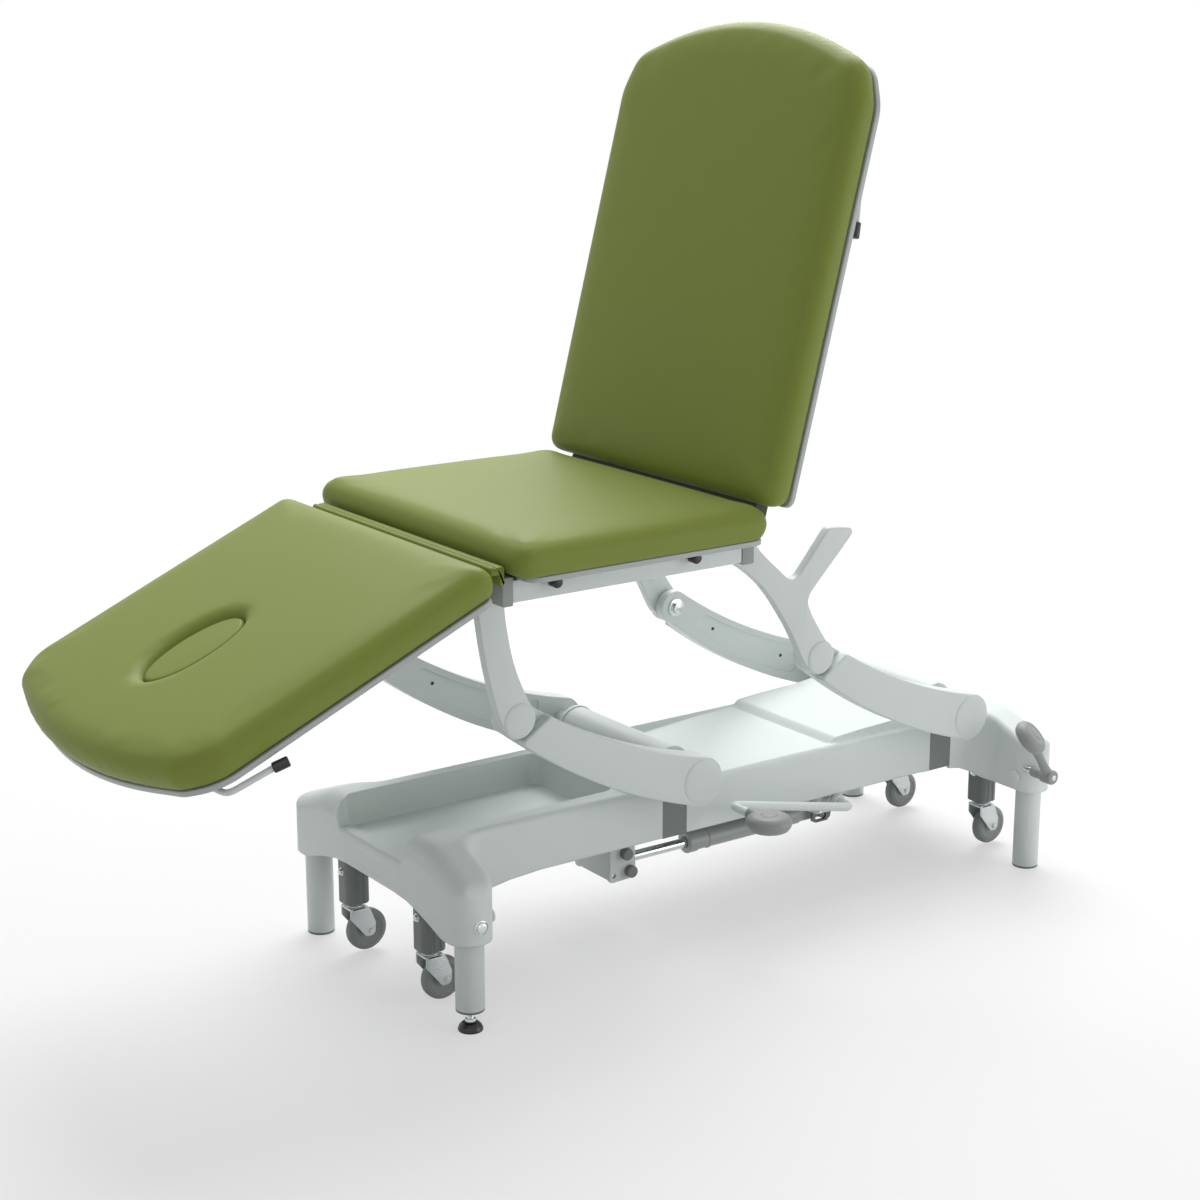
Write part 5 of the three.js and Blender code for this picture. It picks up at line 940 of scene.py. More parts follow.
def arm_line(tail=None):
    """An arm's outline: a bowed top edge and a fuller belly, circles through three points each,
    between a round root and a round tip, or with a tail the straight end of its thick part."""
    top = arc_through((0, ARM_ROOT), (ARM_LENGTH * 0.576, ARM_WAIST), (ARM_LENGTH, ARM_TIP), 49)
    low = arc_through((ARM_LENGTH, -ARM_TIP), (ARM_LENGTH * 0.416, ARM_BELLY), (0, -ARM_ROOT), 49)
    root = arc(0, 0, ARM_ROOT, -90, -270, 41)[1:-1]
    if tail is None:
        return np.vstack([top, arc(ARM_LENGTH, 0, ARM_TIP, 90, -90, 33)[1:-1], low, root])
    a, b = np.asarray(tail, dtype=float)
    kept = [p[(b[0] - a[0]) * (p[:, 1] - a[1]) - (b[1] - a[1]) * (p[:, 0] - a[0]) <= 0] for p in (top, low)]
    turn = rounded_plan([(*kept[0][-1], 0), (*a, 5), (*b, 5), (*kept[1][0], 0)], 7, closed=False)
    return np.vstack([kept[0][:-1], turn, kept[1][1:], root])


ARM_TAIL = [(ARM_LENGTH * 0.87, 22), (ARM_LENGTH * 0.945, -30)]
PANEL_TOP = arc_through((ARM_LENGTH * 0.152, 22), (ARM_LENGTH * 0.576, 5), (ARM_LENGTH * 0.828, 9), 17)
PANEL_LOW = arc_through((ARM_LENGTH * 0.862, -20), (ARM_LENGTH * 0.465, -44), (ARM_LENGTH * 0.152, -34), 17)
PANEL_DEPTH = 3.0
PLUG_HOLES = [(ARM_LENGTH * 0.27, -12), (ARM_LENGTH * 0.735, -12)]
ROOT_CAP = [(0, 238.2, 0), (20, 237.8, 120), (34.5, 236.6, 20), (39, 234.6, 1.2), (39.4, 231.5, 0.2),
            (0, 231.5, 0)]


def lift_arm(end, side_name):
    """One arm: thick body, thinner tongue beside the upright, cap on its root, and a shallow
    panel with two dark plugs in its inner face."""
    side, pivot = SIDES[side_name], PIVOTS[end]
    place = end + "_" + side_name
    thick = sided(along_arm(arm_line(ARM_TAIL), pivot), ARM_INNER, ARM_OUTER, side, 3.2, 5)
    tongue = sided(along_arm(arm_line(), pivot), ARM_INNER, TONGUE_OUTER, side, 1.5, 3)
    cap = turned([(r, side * y) for r, y in rounded_plan(ROOT_CAP, 7, closed=False)], "y",
                 (pivot, 0, LOWER_PIVOT_Z), 96)
    body = BODY_OF["arm_" + place]
    arm = new_piece("lift_arm_" + place, [thick, tongue, cap], PAINTED_STEEL, body, "painted_steel",
                    "arm_" + place)
    panel = softened(clean_loop(np.vstack([PANEL_TOP, PANEL_LOW])), 2)
    carved(arm, sided(along_arm(panel, pivot), ARM_INNER - 8, ARM_INNER + PANEL_DEPTH, side, 0.8, 2))
    plugs = []
    for hole in PLUG_HOLES:
        x, z = along_arm([hole], pivot)[0]
        low = side * (ARM_INNER + PANEL_DEPTH - 0.6)
        plugs.append(bar(3.4, *sorted((low, low + side * 4)), "y", (x, 0, z), 0.5, 24))
    new_piece("arm_plugs_" + place, plugs, BLACK_PLASTIC, body, "black_plastic")


for end in ENDS:
    for side_name in SIDES:
        lift_arm(end, side_name)

# Uprights: leading edge from the rail down, back edge from the pivot up, from their own pivot
FOOT_LEAD = [(-79, 244.2), (-77, 203.5), (-74, 175.5), (-68.7, 138.2), (-61, 95.5), (-52.5, 59.5),
             (-42.6, 23.7), (-35, 3.5)]
FOOT_BACK = [(19, 27.5), (8.4, 50.2), (-2.5, 75.5), (-13, 108.5), (-20.9, 147.9), (-26, 183.5),
             (-29, 244.2)]
HEAD_LEAD = [(-212.9, 244.2), (-212.9, 207.5), (-195.3, 195.6), (-166.4, 176), (-139.4, 153.2),
             (-115.4, 126), (-94.7, 96.9), (-72.9, 65), (-54.9, 32), (-42.9, 7.5), (-32.9, -9.5)]
HEAD_BACK = [(1.6, 44.5), (-11.2, 63.6), (-24.9, 87.5), (-31.5, 102.5), (-28.9, 115.5), (-21.9, 125.5),
             (61.4, 207.5), (66.6, 215.5), (65.6, 222.5), (59.1, 226), (21.1, 230.8), (15.1, 230.8),
             (9.6, 228), (-48.9, 159), (-56.9, 153), (-65.9, 150.5), (-77.4, 153), (-96.6, 170.5),
             (-140.7, 209.9), (-154.4, 231.5), (-155.9, 240.5)]
UPRIGHTS = {
    "foot": (0.0, FOOT_LEAD, FOOT_BACK, (190, 400), (-84, 245.5)),
    "head": (PIVOT_SPACING, HEAD_LEAD, HEAD_BACK, (205, 425), (PIVOT_SPACING - 166.9, 252.2)),
}
PIVOT_DOME = [(0, 234.2, 0), (14, 233.9, 80), (24.5, 233.0, 12), (29, 230.9, 1.6), (29.4, 228, 0.2),
              (0, 228, 0)]
LUG_RADIUS = 11.2


def upright(end, side_name):
    """A forked upright: its plate, the lug round the section's hinge, a dome over the pivot
    outside, and inside the pivot's washer, nut and thread."""
    side = SIDES[side_name]
    x, lead, back, turn, hinge = UPRIGHTS[end]
    outline = np.vstack([lead, arc(0, 0, ARM_TIP, *turn, 41), back]) + (x, 0)
    outline = softened(outline, 2) + UPPER
    body = sided(outline, UPRIGHT_INNER, UPRIGHT_OUTER, side, 2.2, 4)
    lug = arc(*hinge, LUG_RADIUS, 0, 350, 36) + UPPER
    lug = sided(lug, UPRIGHT_INNER, UPRIGHT_OUTER, side, 1.5, 3)
    centre = (UPPER[0] + x, 0, UPPER[1])
    dome = turned([(r, side * y) for r, y in rounded_plan(PIVOT_DOME, 7, closed=False)], "y", centre, 80)
    place = end + "_" + side_name
    new_piece("forked_upright_" + place, [body, lug, dome], PAINTED_STEEL, "platform", "painted_steel",
              "upright_" + place)
    inner = side * (ARM_INNER - 0.3)
    washer = bar(17, *sorted((inner, inner - side * 2.2)), "y", centre, 0.6, 48)
    nut = hexagon(19, *sorted((inner - side * 2, inner - side * 9.5)), "y", centre)
    thread = bar(6, *sorted((inner - side * 2, inner - side * 10.7)), "y", centre, 1.0, 32)
    new_piece("pivot_nut_" + place, [washer, nut, thread], BRIGHT_METAL, "platform", "bright_metal")


for end in ENDS:
    for side_name in SIDES:
        upright(end, side_name)

# Seat rails, their end caps and clamp knobs
RAIL_INNER, RAIL_OUTER = 230.3, 270.0
RAIL_LOW, RAIL_HIGH = 208.5, 244.5
HEAD_CAP = (PIVOT_SPACING - 212.9, PIVOT_SPACING - 187.9)
KNOBS = {"foot": 36.0, "head": 310.5}
KNOB_HEIGHT = 234.5
KNOB = [(0, 272.1, 0), (9, 272.1, 0.4), (9, 273.4, 0.4), (5, 275, 1), (5, 278.2, 1), (9.4, 280.3, 1.2),
        (9.2, 287.5, 2.5), (6, 291.1, 3), (0, 291.1, 0)]


def seat_rail(side_name):
    """One seat rail with its oval sockets, end caps and clamp knobs."""
    side = SIDES[side_name]
    span = rectangle(-37.7, HEAD_CAP[0] - 0.3, RAIL_LOW, RAIL_HIGH, 2.0, 5) + UPPER
    shells = [sided(span, RAIL_INNER, RAIL_OUTER, side, 2.0, 4)]
    for x in KNOBS.values():
        oval = arc(0, 0, 1, 0, 350, 48) * (19, 9.5) + (x, KNOB_HEIGHT) + UPPER
        shells.append(sided(oval, RAIL_OUTER - 2, RAIL_OUTER + 1.8, side, 0.8, 3))
    new_piece("rail_" + side_name, shells, PAINTED_STEEL, "platform", "painted_steel",
              "seat_rail_" + side_name)
    caps = {"foot": ((-58, -38), 7.0, 3.0), "head": (HEAD_CAP, 0.0, 1.0)}
    for end, (reach, rise, out) in caps.items():
        line = rectangle(*reach, RAIL_LOW - 4, RAIL_HIGH + rise, 3.0, 5) + UPPER
        name = end + "_" + side_name
        shell = sided(line, RAIL_INNER, RAIL_OUTER + out, side, 1.2, 3)
        new_piece("end_cap_" + name, [shell], GREY_PLASTIC, "platform", "grey_plastic", "rail_cap_" + name)
    for end, x in KNOBS.items():
        centre = (UPPER[0] + x, 0, UPPER[1] + KNOB_HEIGHT)
        profile = [(r, side * y) for r, y in rounded_plan(KNOB, 5, closed=False)]
        name = end + "_" + side_name
        new_piece("clamp_knob_" + name, [turned(profile, "y", centre, 48)], BLACK_PLASTIC, "knob_" + name,
                  "black_plastic", "rail_knob_" + name)


for side_name in SIDES:
    seat_rail(side_name)

# Release levers under the sections
def release_lever(name, path, grip, pivot, to_frame, node):
    """A bent rod from its boss under the board, and a black grip on its end."""
    shells = [rod(path, 14, 5.0, 1.0), bar(9, -24, -0.3, "z", (*pivot, 0), 1.0, 40)]
    body = BODY_OF[node]
    new_piece(name, [moved(s, to_frame) for s in shells], PAINTED_STEEL, body, "painted_steel", node)
    new_piece(name + "_grip", [moved(rod(grip, 1, 8.3, 2.5), to_frame)], BLACK_PLASTIC, body, "black_plastic")


LEG_LEVER = [(508, 240, -14), (506, 285, -14), (503, 311, -14), (427, 326, -13), (409, 333, -13)]
LEG_GRIP = [(431, 325, -13), (407, 334, -13)]
BACK_LEVER = [(545, -225, -15), (545, -285, -15), (470, -300, -15), (440, -304, -15)]
BACK_GRIP = [(460, -301.5, -15), (433, -305, -15)]
release_lever("leg_lever", LEG_LEVER, LEG_GRIP, (508, 236), on_leg_section, "leg_release_lever")
release_lever("backrest_lever", BACK_LEVER, BACK_GRIP, (545, -222), on_backrest, "backrest_release_lever")


# Legs, levelling foot and castors
LEG_X, LEG_Y, LEG_RADIUS, LEG_TOP = 630.0, 250.0, 24.15, 240.0
SHORT_LEG = 35.0
LEG_PLUG = 4.0
CASTER_Y, TRAIL, AXLE_Z = 126.0, 22.0, 41.5
SLEEVE_LOW, SLEEVE_HIGH, SLEEVE_HALF = 97.0, 232.0, 23.0
SLEEVE_BOLT_Z = 157.0
FLUTE_RADIUS, FLUTES = 2.2, (-6.0, 6.0)
TYRE = [(14.6, 0, 0), (14.6, 9.2, 0.3), (17.5, 10.0, 0.6), (25.0, 10.6, 0.8), (26.0, 11.6, 0.6),
        (27.6, 11.6, 0.6), (28.6, 11.0, 0.6), (33.0, 9.8, 4), (37.5, 5.6, 5.5), (37.5, 0, 0)]
HUB = [(5.3, 0, 0), (5.3, 12.0, 0.4), (10.6, 12.0, 1.2), (11.6, 9.4, 0.8), (15.2, 9.1, 0.5), (15.2, 0, 0)]
FOOT_DISC = [(0, 0, 0), (20.5, 0, 0.6), (20.8, 3.0, 1.5), (18.6, 8.4, 4), (13.5, 13.4, 3), (10, 15.2, 1),
             (0, 15.2, 0)]


def mirrored_turn(half, axis, centre, sides=96):
    """A turned shape that is the same on both sides of its middle, from one half's profile."""
    line = rounded_plan(half, 6, closed=False)
    back = line[::-1] * (1, -1)
    profile = np.vstack([line, back])
    keep = np.append(True, np.linalg.norm(np.diff(profile, axis=0), axis=1) > 1e-6)
    profile = profile[keep]
    points, _ = turned(np.vstack([profile, profile[:1]]), axis, centre, sides)
    return points, grid_faces(len(profile) + 1, sides).tolist()


def leg(end, side_name):
    """One leg tube and the plug in its lower end; the short one stands on the levelling foot."""
    place = end + "_" + side_name
    short = place == "foot_near"
    centre = (ENDS[end] * LEG_X, SIDES[side_name] * LEG_Y, 0)
    low = SHORT_LEG if short else 0.0
    new_piece("leg_tube_" + place, [bar(LEG_RADIUS, low + LEG_PLUG, LEG_TOP, "z", centre, 0.6, 96)],
              PAINTED_STEEL, "base", "painted_steel", "leg_" + place)
    if short:
        plug = ring(6.4, LEG_RADIUS - 0.2, low, low + LEG_PLUG + 1, "z", centre, 1.0, 96)
    else:
        plug = bar(LEG_RADIUS - 0.2, low, low + LEG_PLUG + 1, "z", centre, 1.2, 96)
    new_piece("leg_plug_" + place, [plug], SLEEVE_GREY, "base", "grey_plastic")


def levelling_foot():
    """A black cone on the floor, a bright collar in it and a threaded stud, whose radius waves
    by half the thread's depth once in every pitch."""
    centre = (-LEG_X, -LEG_Y, 0)
    disc = turned(rounded_plan(FOOT_DISC, 6, closed=False), "z", centre, 96)
    new_piece("foot_disc", [disc], BLACK_PLASTIC, "levelling_foot", "black_plastic", "levelling_foot")
    collar = bar(9.2, 14.5, 20.6, "z", centre, 1.4, 64)
    pitch, depth = 1.75, 0.45
    level = np.linspace(20, 72, 8 * 30)
    radius = 5.7 + depth / 2 * np.cos(2 * np.pi * level / pitch)
    stud = turned(np.vstack([(0, 20), np.stack([radius, level], axis=-1), (0, 72)]), "z", centre, 40)
    new_piece("foot_stud", [collar, stud], BRIGHT_METAL, "levelling_foot", "bright_metal")


def sleeve_line(x, y):
    """A castor sleeve's plan: a rounded square with two half round flutes in each long side."""
    half = SLEEVE_HALF
    line = evenly(rectangle(x - half, x + half, y - half, y + half, 15, 13), 240)
    for flute in FLUTES:
        for face in (-1, 1):
            away = np.abs(line[:, 0] - x - flute)
            near = (away < FLUTE_RADIUS) & (face * (line[:, 1] - y) > half - 3)
            line[near, 1] -= face * np.sqrt(FLUTE_RADIUS**2 - away[near] ** 2) * 0.7
    return line


CHEEK = [(-17, 90, 2), (-17, 71, 8), (13, 33.5, 9), (31, 32.5, 9), (33, 55.5, 10), (24, 79, 6), (17, 90, 2)]
CHEEK_OUTER, CHEEK_THICK = 17.0, 2.2
RIBS = np.linspace(84, 52, 9)


def cheek_ribs(line, y, face):
    """Low ribs across a fork's cheek: at each height, a rod between the outline's two sides."""
    shells = []
    for height in RIBS:
        after = np.roll(line, -1, 0)
        crossing = (line[:, 1] - height) * (after[:, 1] - height) < 0
        a, b = line[crossing], after[crossing]
        at = a[:, 0] + (b[:, 0] - a[:, 0]) * (height - a[:, 1]) / (b[:, 1] - a[:, 1])
        across = y + face * (CHEEK_OUTER - 0.1)
        ends = ((at.min() + 2.6, across, height), (at.max() - 2.6, across, height))
        shells.append(rod(ends, 0.1, 0.55, 0.3, 8))
    return shells


def castor(end, side_name):
    """A castor: its sliding sleeve with a cross bolt, a ribbed fork on two races, and its wheel."""
    place = end + "_" + side_name
    x, y = ENDS[end] * LEG_X, SIDES[side_name] * CASTER_Y
    sleeve = plate(sleeve_line(x, y), SLEEVE_LOW, SLEEVE_HIGH, 2.5)
    carrier = "caster_carrier_" + place
    new_piece("sleeve_" + place, [sleeve], SLEEVE_GREY, carrier, "dark_steel", "caster_sleeve_" + place)
    bolts = []
    for way in (-1, 1):
        face, middle = x + way * SLEEVE_HALF, (0, y, SLEEVE_BOLT_Z)
        bolts.append(bar(7.2, *sorted((face - way * 2, face + way * 1.2)), "x", middle, 0.4, 40))
        bolts.append(hexagon(10, *sorted((face + way * 1.0, face + way * 5.2)), "x", middle))
        bolts.append(bar(2.8, *sorted((face, face + way * 6.4)), "x", middle, 0.6, 24))
    new_piece("sleeve_bolt_" + place, bolts, BRIGHT_METAL, carrier, "bright_metal")

    line = clean_loop(rounded_plan([(x + u, z, r) for u, z, r in CHEEK], 9))
    shells = []
    for face in (-1, 1):
        outer = face * y + CHEEK_OUTER
        shells.append(sided(line, outer - CHEEK_THICK, outer, face, 0.8, 3))
        shells += cheek_ribs(line, y, face)
    crown = plate(rectangle(x - 17, x + 17, y - 17, y + 17, 5), 85.5, 90, 1.0)
    swivel, hub = (x, y, 0), (x + TRAIL, 0, AXLE_Z)
    races = [bar(15.5, 88, 92.6, "z", swivel, 1.2, 64), bar(13, 92.4, 96, "z", swivel, 0.8, 64)]
    stem = bar(7, 90, 150, "z", swivel, 0.8, 40)
    axle = bar(3.4, y - 19.5, y + 19.5, "y", hub, 0.6, 32)
    heads = [hexagon(9, *sorted((y + face * 16.8, y + face * 18.5)), "y", hub, 0.5) for face in (-1, 1)]
    new_piece("fork_" + place, [*shells, crown, *races, stem, axle, *heads], FORK_METAL,
              "caster_swivel_" + place, "bright_metal", "caster_fork_" + place)

    centre = (x + TRAIL, y, AXLE_Z)
    wheel = "caster_wheel_" + place
    tyre, middle = mirrored_turn(TYRE, "y", centre), mirrored_turn(HUB, "y", centre, 72)
    new_piece("tyre_" + place, [tyre], WHEEL_RUBBER, wheel, "wheel_rubber", wheel)
    new_piece("hub_" + place, [middle], WHEEL_HUB, wheel, "grey_plastic")


for end in ENDS:
    for side_name in SIDES:
        leg(end, side_name)
        castor(end, side_name)
levelling_foot()


# Castor pedal, pump lever and pump block
PEDAL_AXIS = (602.0, 206.0)
PEDAL_Y = -325.0
PEDAL_ARM = np.array([-53.0, 86.0])
PEDAL_ROLL = math.radians(38.0)
PEDAL_FACE = [(0, -15.5, 0), (20, -15.5, 3), (23, -13.5, 3), (30.5, -11, 5), (35.2, -2, 7), (33.5, 7, 6),
              (27, 12.5, 4), (21.5, 13.8, 1.2), (20.5, 12.6, 0.8), (13, 12.6, 0.8), (12, 13.8, 1.0),
              (0, 14.4, 0)]
LEVER_FACE = [(0, -16, 0), (24, -16, 4), (34.5, -12, 5), (39, -5, 4), (40.3, 1, 5), (37.5, 8.5, 4),
              (30.5, 13, 3), (24, 14.6, 1.0), (22.8, 13.2, 0.8), (14, 13.2, 0.8), (12.8, 14.8, 1.2),
              (0, 15.6, 0)]


def tapered(start, stop, radii, flat=1.0, rows=17, sides=40):
    """A limb from start to stop: ellipses across it whose half widths follow the radii given at
    even steps, a smooth curve between them, and whose depth is flat times that."""
    start, stop = np.asarray(start, dtype=float), np.asarray(stop, dtype=float)
    share = np.linspace(0, 1, rows)
    knots = np.linspace(0, 1, len(radii))
    fit = np.polyfit(knots, radii, len(radii) - 1)
    radius = np.polyval(fit, share)
    way = (stop - start) / np.linalg.norm(stop - start)
    across = np.array([way[2], 0.0, -way[0]])
    deep = np.array([0.0, 1.0, 0.0])
    angle = np.linspace(0, 2 * np.pi, sides, endpoint=False)[None, :, None]
    around = np.cos(angle) * across + flat * np.sin(angle) * deep
    return capped((start + share[:, None] * (stop - start))[:, None] + radius[:, None, None] * around)


def castor_pedal():
    """The pedal that lowers the castors: a hub on its shaft, a waisted limb and a thick round
    pad with a shallow ring in its face, melted into one moulding."""
    axis = (PEDAL_AXIS[0], 0, PEDAL_AXIS[1])
    length = np.linalg.norm(PEDAL_ARM)
    way = PEDAL_ARM / length
    head = np.array([PEDAL_AXIS[0] + PEDAL_ARM[0], PEDAL_Y, PEDAL_AXIS[1] + PEDAL_ARM[1]])
    tilt = math.atan2(-way[1], -way[0]) + math.pi / 2
    c, s = math.cos(tilt), math.sin(tilt)
    rolled = Matrix.Rotation(PEDAL_ROLL, 3, "X")

    def stand(points):
        x, y, z = (points @ np.array(rolled).T).T
        return np.stack([x * c + z * s, y, -x * s + z * c], axis=-1) + head

    pad = moved(turned(rounded_plan(PEDAL_FACE, 6, closed=False), "z", (0, 0, 0), 72), stand)
    foot = (PEDAL_AXIS[0], PEDAL_Y, PEDAL_AXIS[1])
    near = head - np.array([way[0], 0, way[1]]) * 14
    limb = tapered(foot, near, [12.5, 8.6, 9.0, 13.5], 0.9)
    hub = bar(14, PEDAL_Y - 14, PEDAL_Y + 14, "y", axis, 4.0, 48)
    collar = bar(11, -311, -285.3, "y", axis, 1.5, 48)
    pedal = new_piece("castor_pedal", [pad, limb, hub, collar], PEDAL_GREY, "caster_pedal", "grey_plastic",
                      "caster_pedal")
    fused(pedal, 1.4, 6)
    shaft = bar(8, -300, -267, "y", axis, 1.0, 40)
    cap = bar(5.2, PEDAL_Y - 15.2, PEDAL_Y - 12, "y", axis, 1.0, 32)
    new_piece("pedal_shaft", [shaft, cap], BRIGHT_METAL, "caster_pedal", "bright_metal")


PUMP_X, PUMP_Z = 226.0, 187.0
LEVER_PAD_AT = (-57.0, -304.0, 249.0)


def pump():
    """The pump's block and screws under the near side, and its foot lever with the pad."""
    body = block(PUMP_X - 30, PUMP_X + 36, -136, -66, 158, 202.7, 4.0)
    boss = bar(17, -152, -128, "y", (PUMP_X, 0, PUMP_Z - 4), 2.0)
    neck = bar(13, -74, -60, "y", (PUMP_X + 10, 0, PUMP_Z - 10), 1.5)
    new_piece("pump_housing", [body, boss, neck], PAINTED_STEEL, "base", "painted_steel", "pump_block")
    screws = [hexagon(8, -139.5, -135.6, "y", (PUMP_X + dx, 0, z)) for dx in (-22, 28) for z in (165, 195)]
    new_piece("pump_screws", screws, BRIGHT_METAL, "base", "bright_metal")
    path = [(PUMP_X, -112, PUMP_Z), (PUMP_X, -200, PUMP_Z), (LEVER_PAD_AT[0], -200, LEVER_PAD_AT[2]),
            (LEVER_PAD_AT[0], -296, LEVER_PAD_AT[2])]
    stop = bar(13, -166, -154, "y", (PUMP_X, 0, PUMP_Z), 1.5)
    new_piece("pump_lever_rod", [rod(path, 22, 8.0, 1.5), stop], PAINTED_STEEL, "pump_lever",
              "painted_steel", "pump_lever")
    pad = turned(rounded_plan(LEVER_FACE, 6, closed=False), "z", LEVER_PAD_AT, 96)
    socket = bar(12, -272, -250, "y", (LEVER_PAD_AT[0], 0, LEVER_PAD_AT[2]), 3.0, 48)
    piece = new_piece("pump_lever_foot_pad", [pad, socket], PEDAL_GREY, "pump_lever", "grey_plastic",
                      "pump_lever_pad")
    fused(piece, 1.4, 4)


castor_pedal()
pump()


# Torque tubes with the crank, and the ram
CRANK = [(24, -20, 0), (-10.4, -160.5, 10), (-7.4, -228.5, 14), (-66.4, -230.5, 8), (-64.4, -170.5, 12),
         (-30, -16, 0)]
CRANK_INNER, CRANK_OUTER = 46.0, 54.0
SHAFT_RADIUS, SHAFT_END = 20.0, 211.0
FOOT_TUBE, HEAD_TUBE = (38.0, 146.0), (32.0, 142.0)
CRANK_PINS = [(-180.0, 142.0), (-170.0, 107.0)]
CRANK_HOLE = (-203.0, 103.0)
RAM_Z = 107.0


def torque_tubes():
    """The foot end tube with its shaft, collars and crank, the crank's pins, and the head end tube."""
    foot, head = PIVOTS["foot"], PIVOTS["head"]
    axis = (foot, 0, LOWER_PIVOT_Z)
    radius, half = FOOT_TUBE
    tube = bar(radius, -half, half, "y", axis, 2.5, 96)
    collars = [ring(36, 40.5, *sorted((side * 139, side * 146.5)), "y", axis, 1.2, 96) for side in (-1, 1)]
    shaft = bar(SHAFT_RADIUS, -SHAFT_END, SHAFT_END, "y", axis, 1.0, 64)
    line = rounded_plan([(foot + x, LOWER_PIVOT_Z + z, r) for x, z, r in CRANK], 9)
    cheeks = [sided(line, CRANK_INNER, CRANK_OUTER, side, 1.2, 3) for side in (-1, 1)]
    tie = block(foot - 66.4, foot - 56.4, -53, 53, 96, 148, 1.0)
    crank = new_piece("torque_tube_and_crank", [tube, shaft, *cheeks, tie, *collars], PAINTED_STEEL,
                      "foot_arms", "painted_steel", "torque_tube_foot")
    carved(crank, bar(4.2, -76, 76, "y", (CRANK_HOLE[0], 0, CRANK_HOLE[1]), 0.0, 32))
    pins = [bar(11, -66, 66, "y", (x, 0, z), 2.2, 48) for x, z in CRANK_PINS]
    new_piece("crank_pins", pins, DARK_STEEL, "foot_arms", "dark_steel")
    axis = (head, 0, LOWER_PIVOT_Z)
    radius, half = HEAD_TUBE
    shells = [bar(radius, -half, half, "y", axis, 2.5, 96),
              bar(SHAFT_RADIUS, -SHAFT_END, SHAFT_END, "y", axis)]
    new_piece("torque_tube_head_end", shells, PAINTED_STEEL, "head_arms", "painted_steel", "torque_tube_head")


def ram():
    """The ram below the base: an eye and a bright rod, and the barrel with its gland and rear pin."""
    pin = (CRANK_PINS[1][0], 0, RAM_Z)
    eye = ring(11.3, 19, -16, 16, "y", pin, 1.5, 64)
    stem = bar(9.5, pin[0] + 15.5, 120, "x", (0, 0, RAM_Z), 1.0)
    new_piece("ram_piston_rod", [eye, stem], BRIGHT_METAL, "ram_rod", "bright_metal", "ram_rod")
    barrel = bar(18.5, 4, 262, "x", (0, 0, RAM_Z), 2.0, 80)
    gland = ring(9.9, 20.5, -5, 17, "x", (0, 0, RAM_Z), 2.0, 80)
    weld = ring(17, 20.0, 40, 46, "x", (0, 0, RAM_Z), 1.6, 80)
    rear = block(255, 312, -15, 15, RAM_Z - 12, RAM_Z + 12, 3.0)
    cylinder = new_piece("ram_cylinder", [barrel, gland, weld, rear], BOARD_EDGE, "ram_barrel",
                         "board_edge", "ram_barrel")
    carved(cylinder, bar(9.8, -15, 258, "x", (0, 0, RAM_Z), 0.0, 64))
    new_piece("ram_rear_pin", [bar(6, -33, 33, "y", (300, 0, RAM_Z), 1.0, 40)], DARK_STEEL, "ram_barrel",
              "dark_steel")


torque_tubes()
ram()

for node in ("chassis", "leg_frame", "backrest_frame", "cross_member_foot", "cross_member_head"):
    finer(node)

# Base cover
COVER_OUTER, COVER_INNER, COVER_HALF, COVER_BODY = 668.0, 591.0, 285.0, 157.0
COVER_ROUND, COVER_FILLET, COVER_TOP, COVER_WALL = 37.0, 46.0, 297.0, 4.0
EDGE_ROUND, END_ROUND, SIDE_ROUND = 13.0, 34.0, 24.0
CREST_HALF, CREST_SLOPE, CREST_SOFT = 168.0, 44.0 / 117.0, 12.0  # the tees' tops fall outside this
NOTCH_HALF, NOTCH_Y = 26.3, 149.7
TRAY = (-652.0, -250.0, 120.0, 24.0)
TRAY_FLOOR, MOUTH_LIP = 242.0, 249.0
CRANK_SLOT = (-236.0, -70.0, 62.0, 14.0)
BODY_LINE = np.array([
    (-252, 297), (-246, 289), (-215, 277), (-180, 272.5), (-147, 271), (-110, 272), (-60, 276),
    (20, 282.5), (120, 288.5), (222, 292), (226, 298), (229, 302.5), (233, 305.3), (292, 309),
    (373, 311.5), (422, 317), (438, 327), (453, 345), (468, 361), (484, 366), (502, 359),
    (515, 345), (527, 324), (538, 306), (550, 296.5), (556, 297),
])
SIDE_LIP = np.array([(0, 157), (64, 157), (86, 164), (108, 178), (133, 189), (178, 196), (238, 200)])
ARCH_LIP = np.array([(80, 190), (120, 187), (160, 178), (200, 166), (226, 157)])
EDGE_RINGS = (0.4, 1.2, 2.5, 4.5, 7.0, 10.0, 13.5)


def smoothstep(start, stop, value):
    """3t^2 - 2t^3, where t runs from 0 at start to 1 at stop."""
    t = np.clip((value - start) / (stop - start), 0.0, 1.0)
    return t * t * (3 - 2 * t)


def edge_drop(inset, radius):
    """How far a quarter round lies below its crest: R - sqrt(R^2 - (R - inset)^2)."""
    return radius - np.sqrt(radius**2 - np.clip(radius - inset, 0.0, radius) ** 2)


def mirrored(quarter):
    """A counter-clockwise outline from its first quarter, which runs from the end to the middle."""
    quarter = np.asarray(quarter, dtype=float)
    turned_back = quarter[::-1] * (-1, 1, 1)
    return np.vstack([quarter, turned_back, quarter * (-1, -1, 1), turned_back * (-1, -1, 1)])


def divided(outline, step):
    """The closed outline with its sides cut into even parts no longer than step."""
    runs = []
    for start, stop in zip(outline, np.roll(outline, -1, 0)):
        parts = max(1, math.ceil(np.linalg.norm(stop - start) / step))
        runs.append(start + (stop - start) * np.arange(parts)[:, None] / parts)
    return np.vstack(runs)


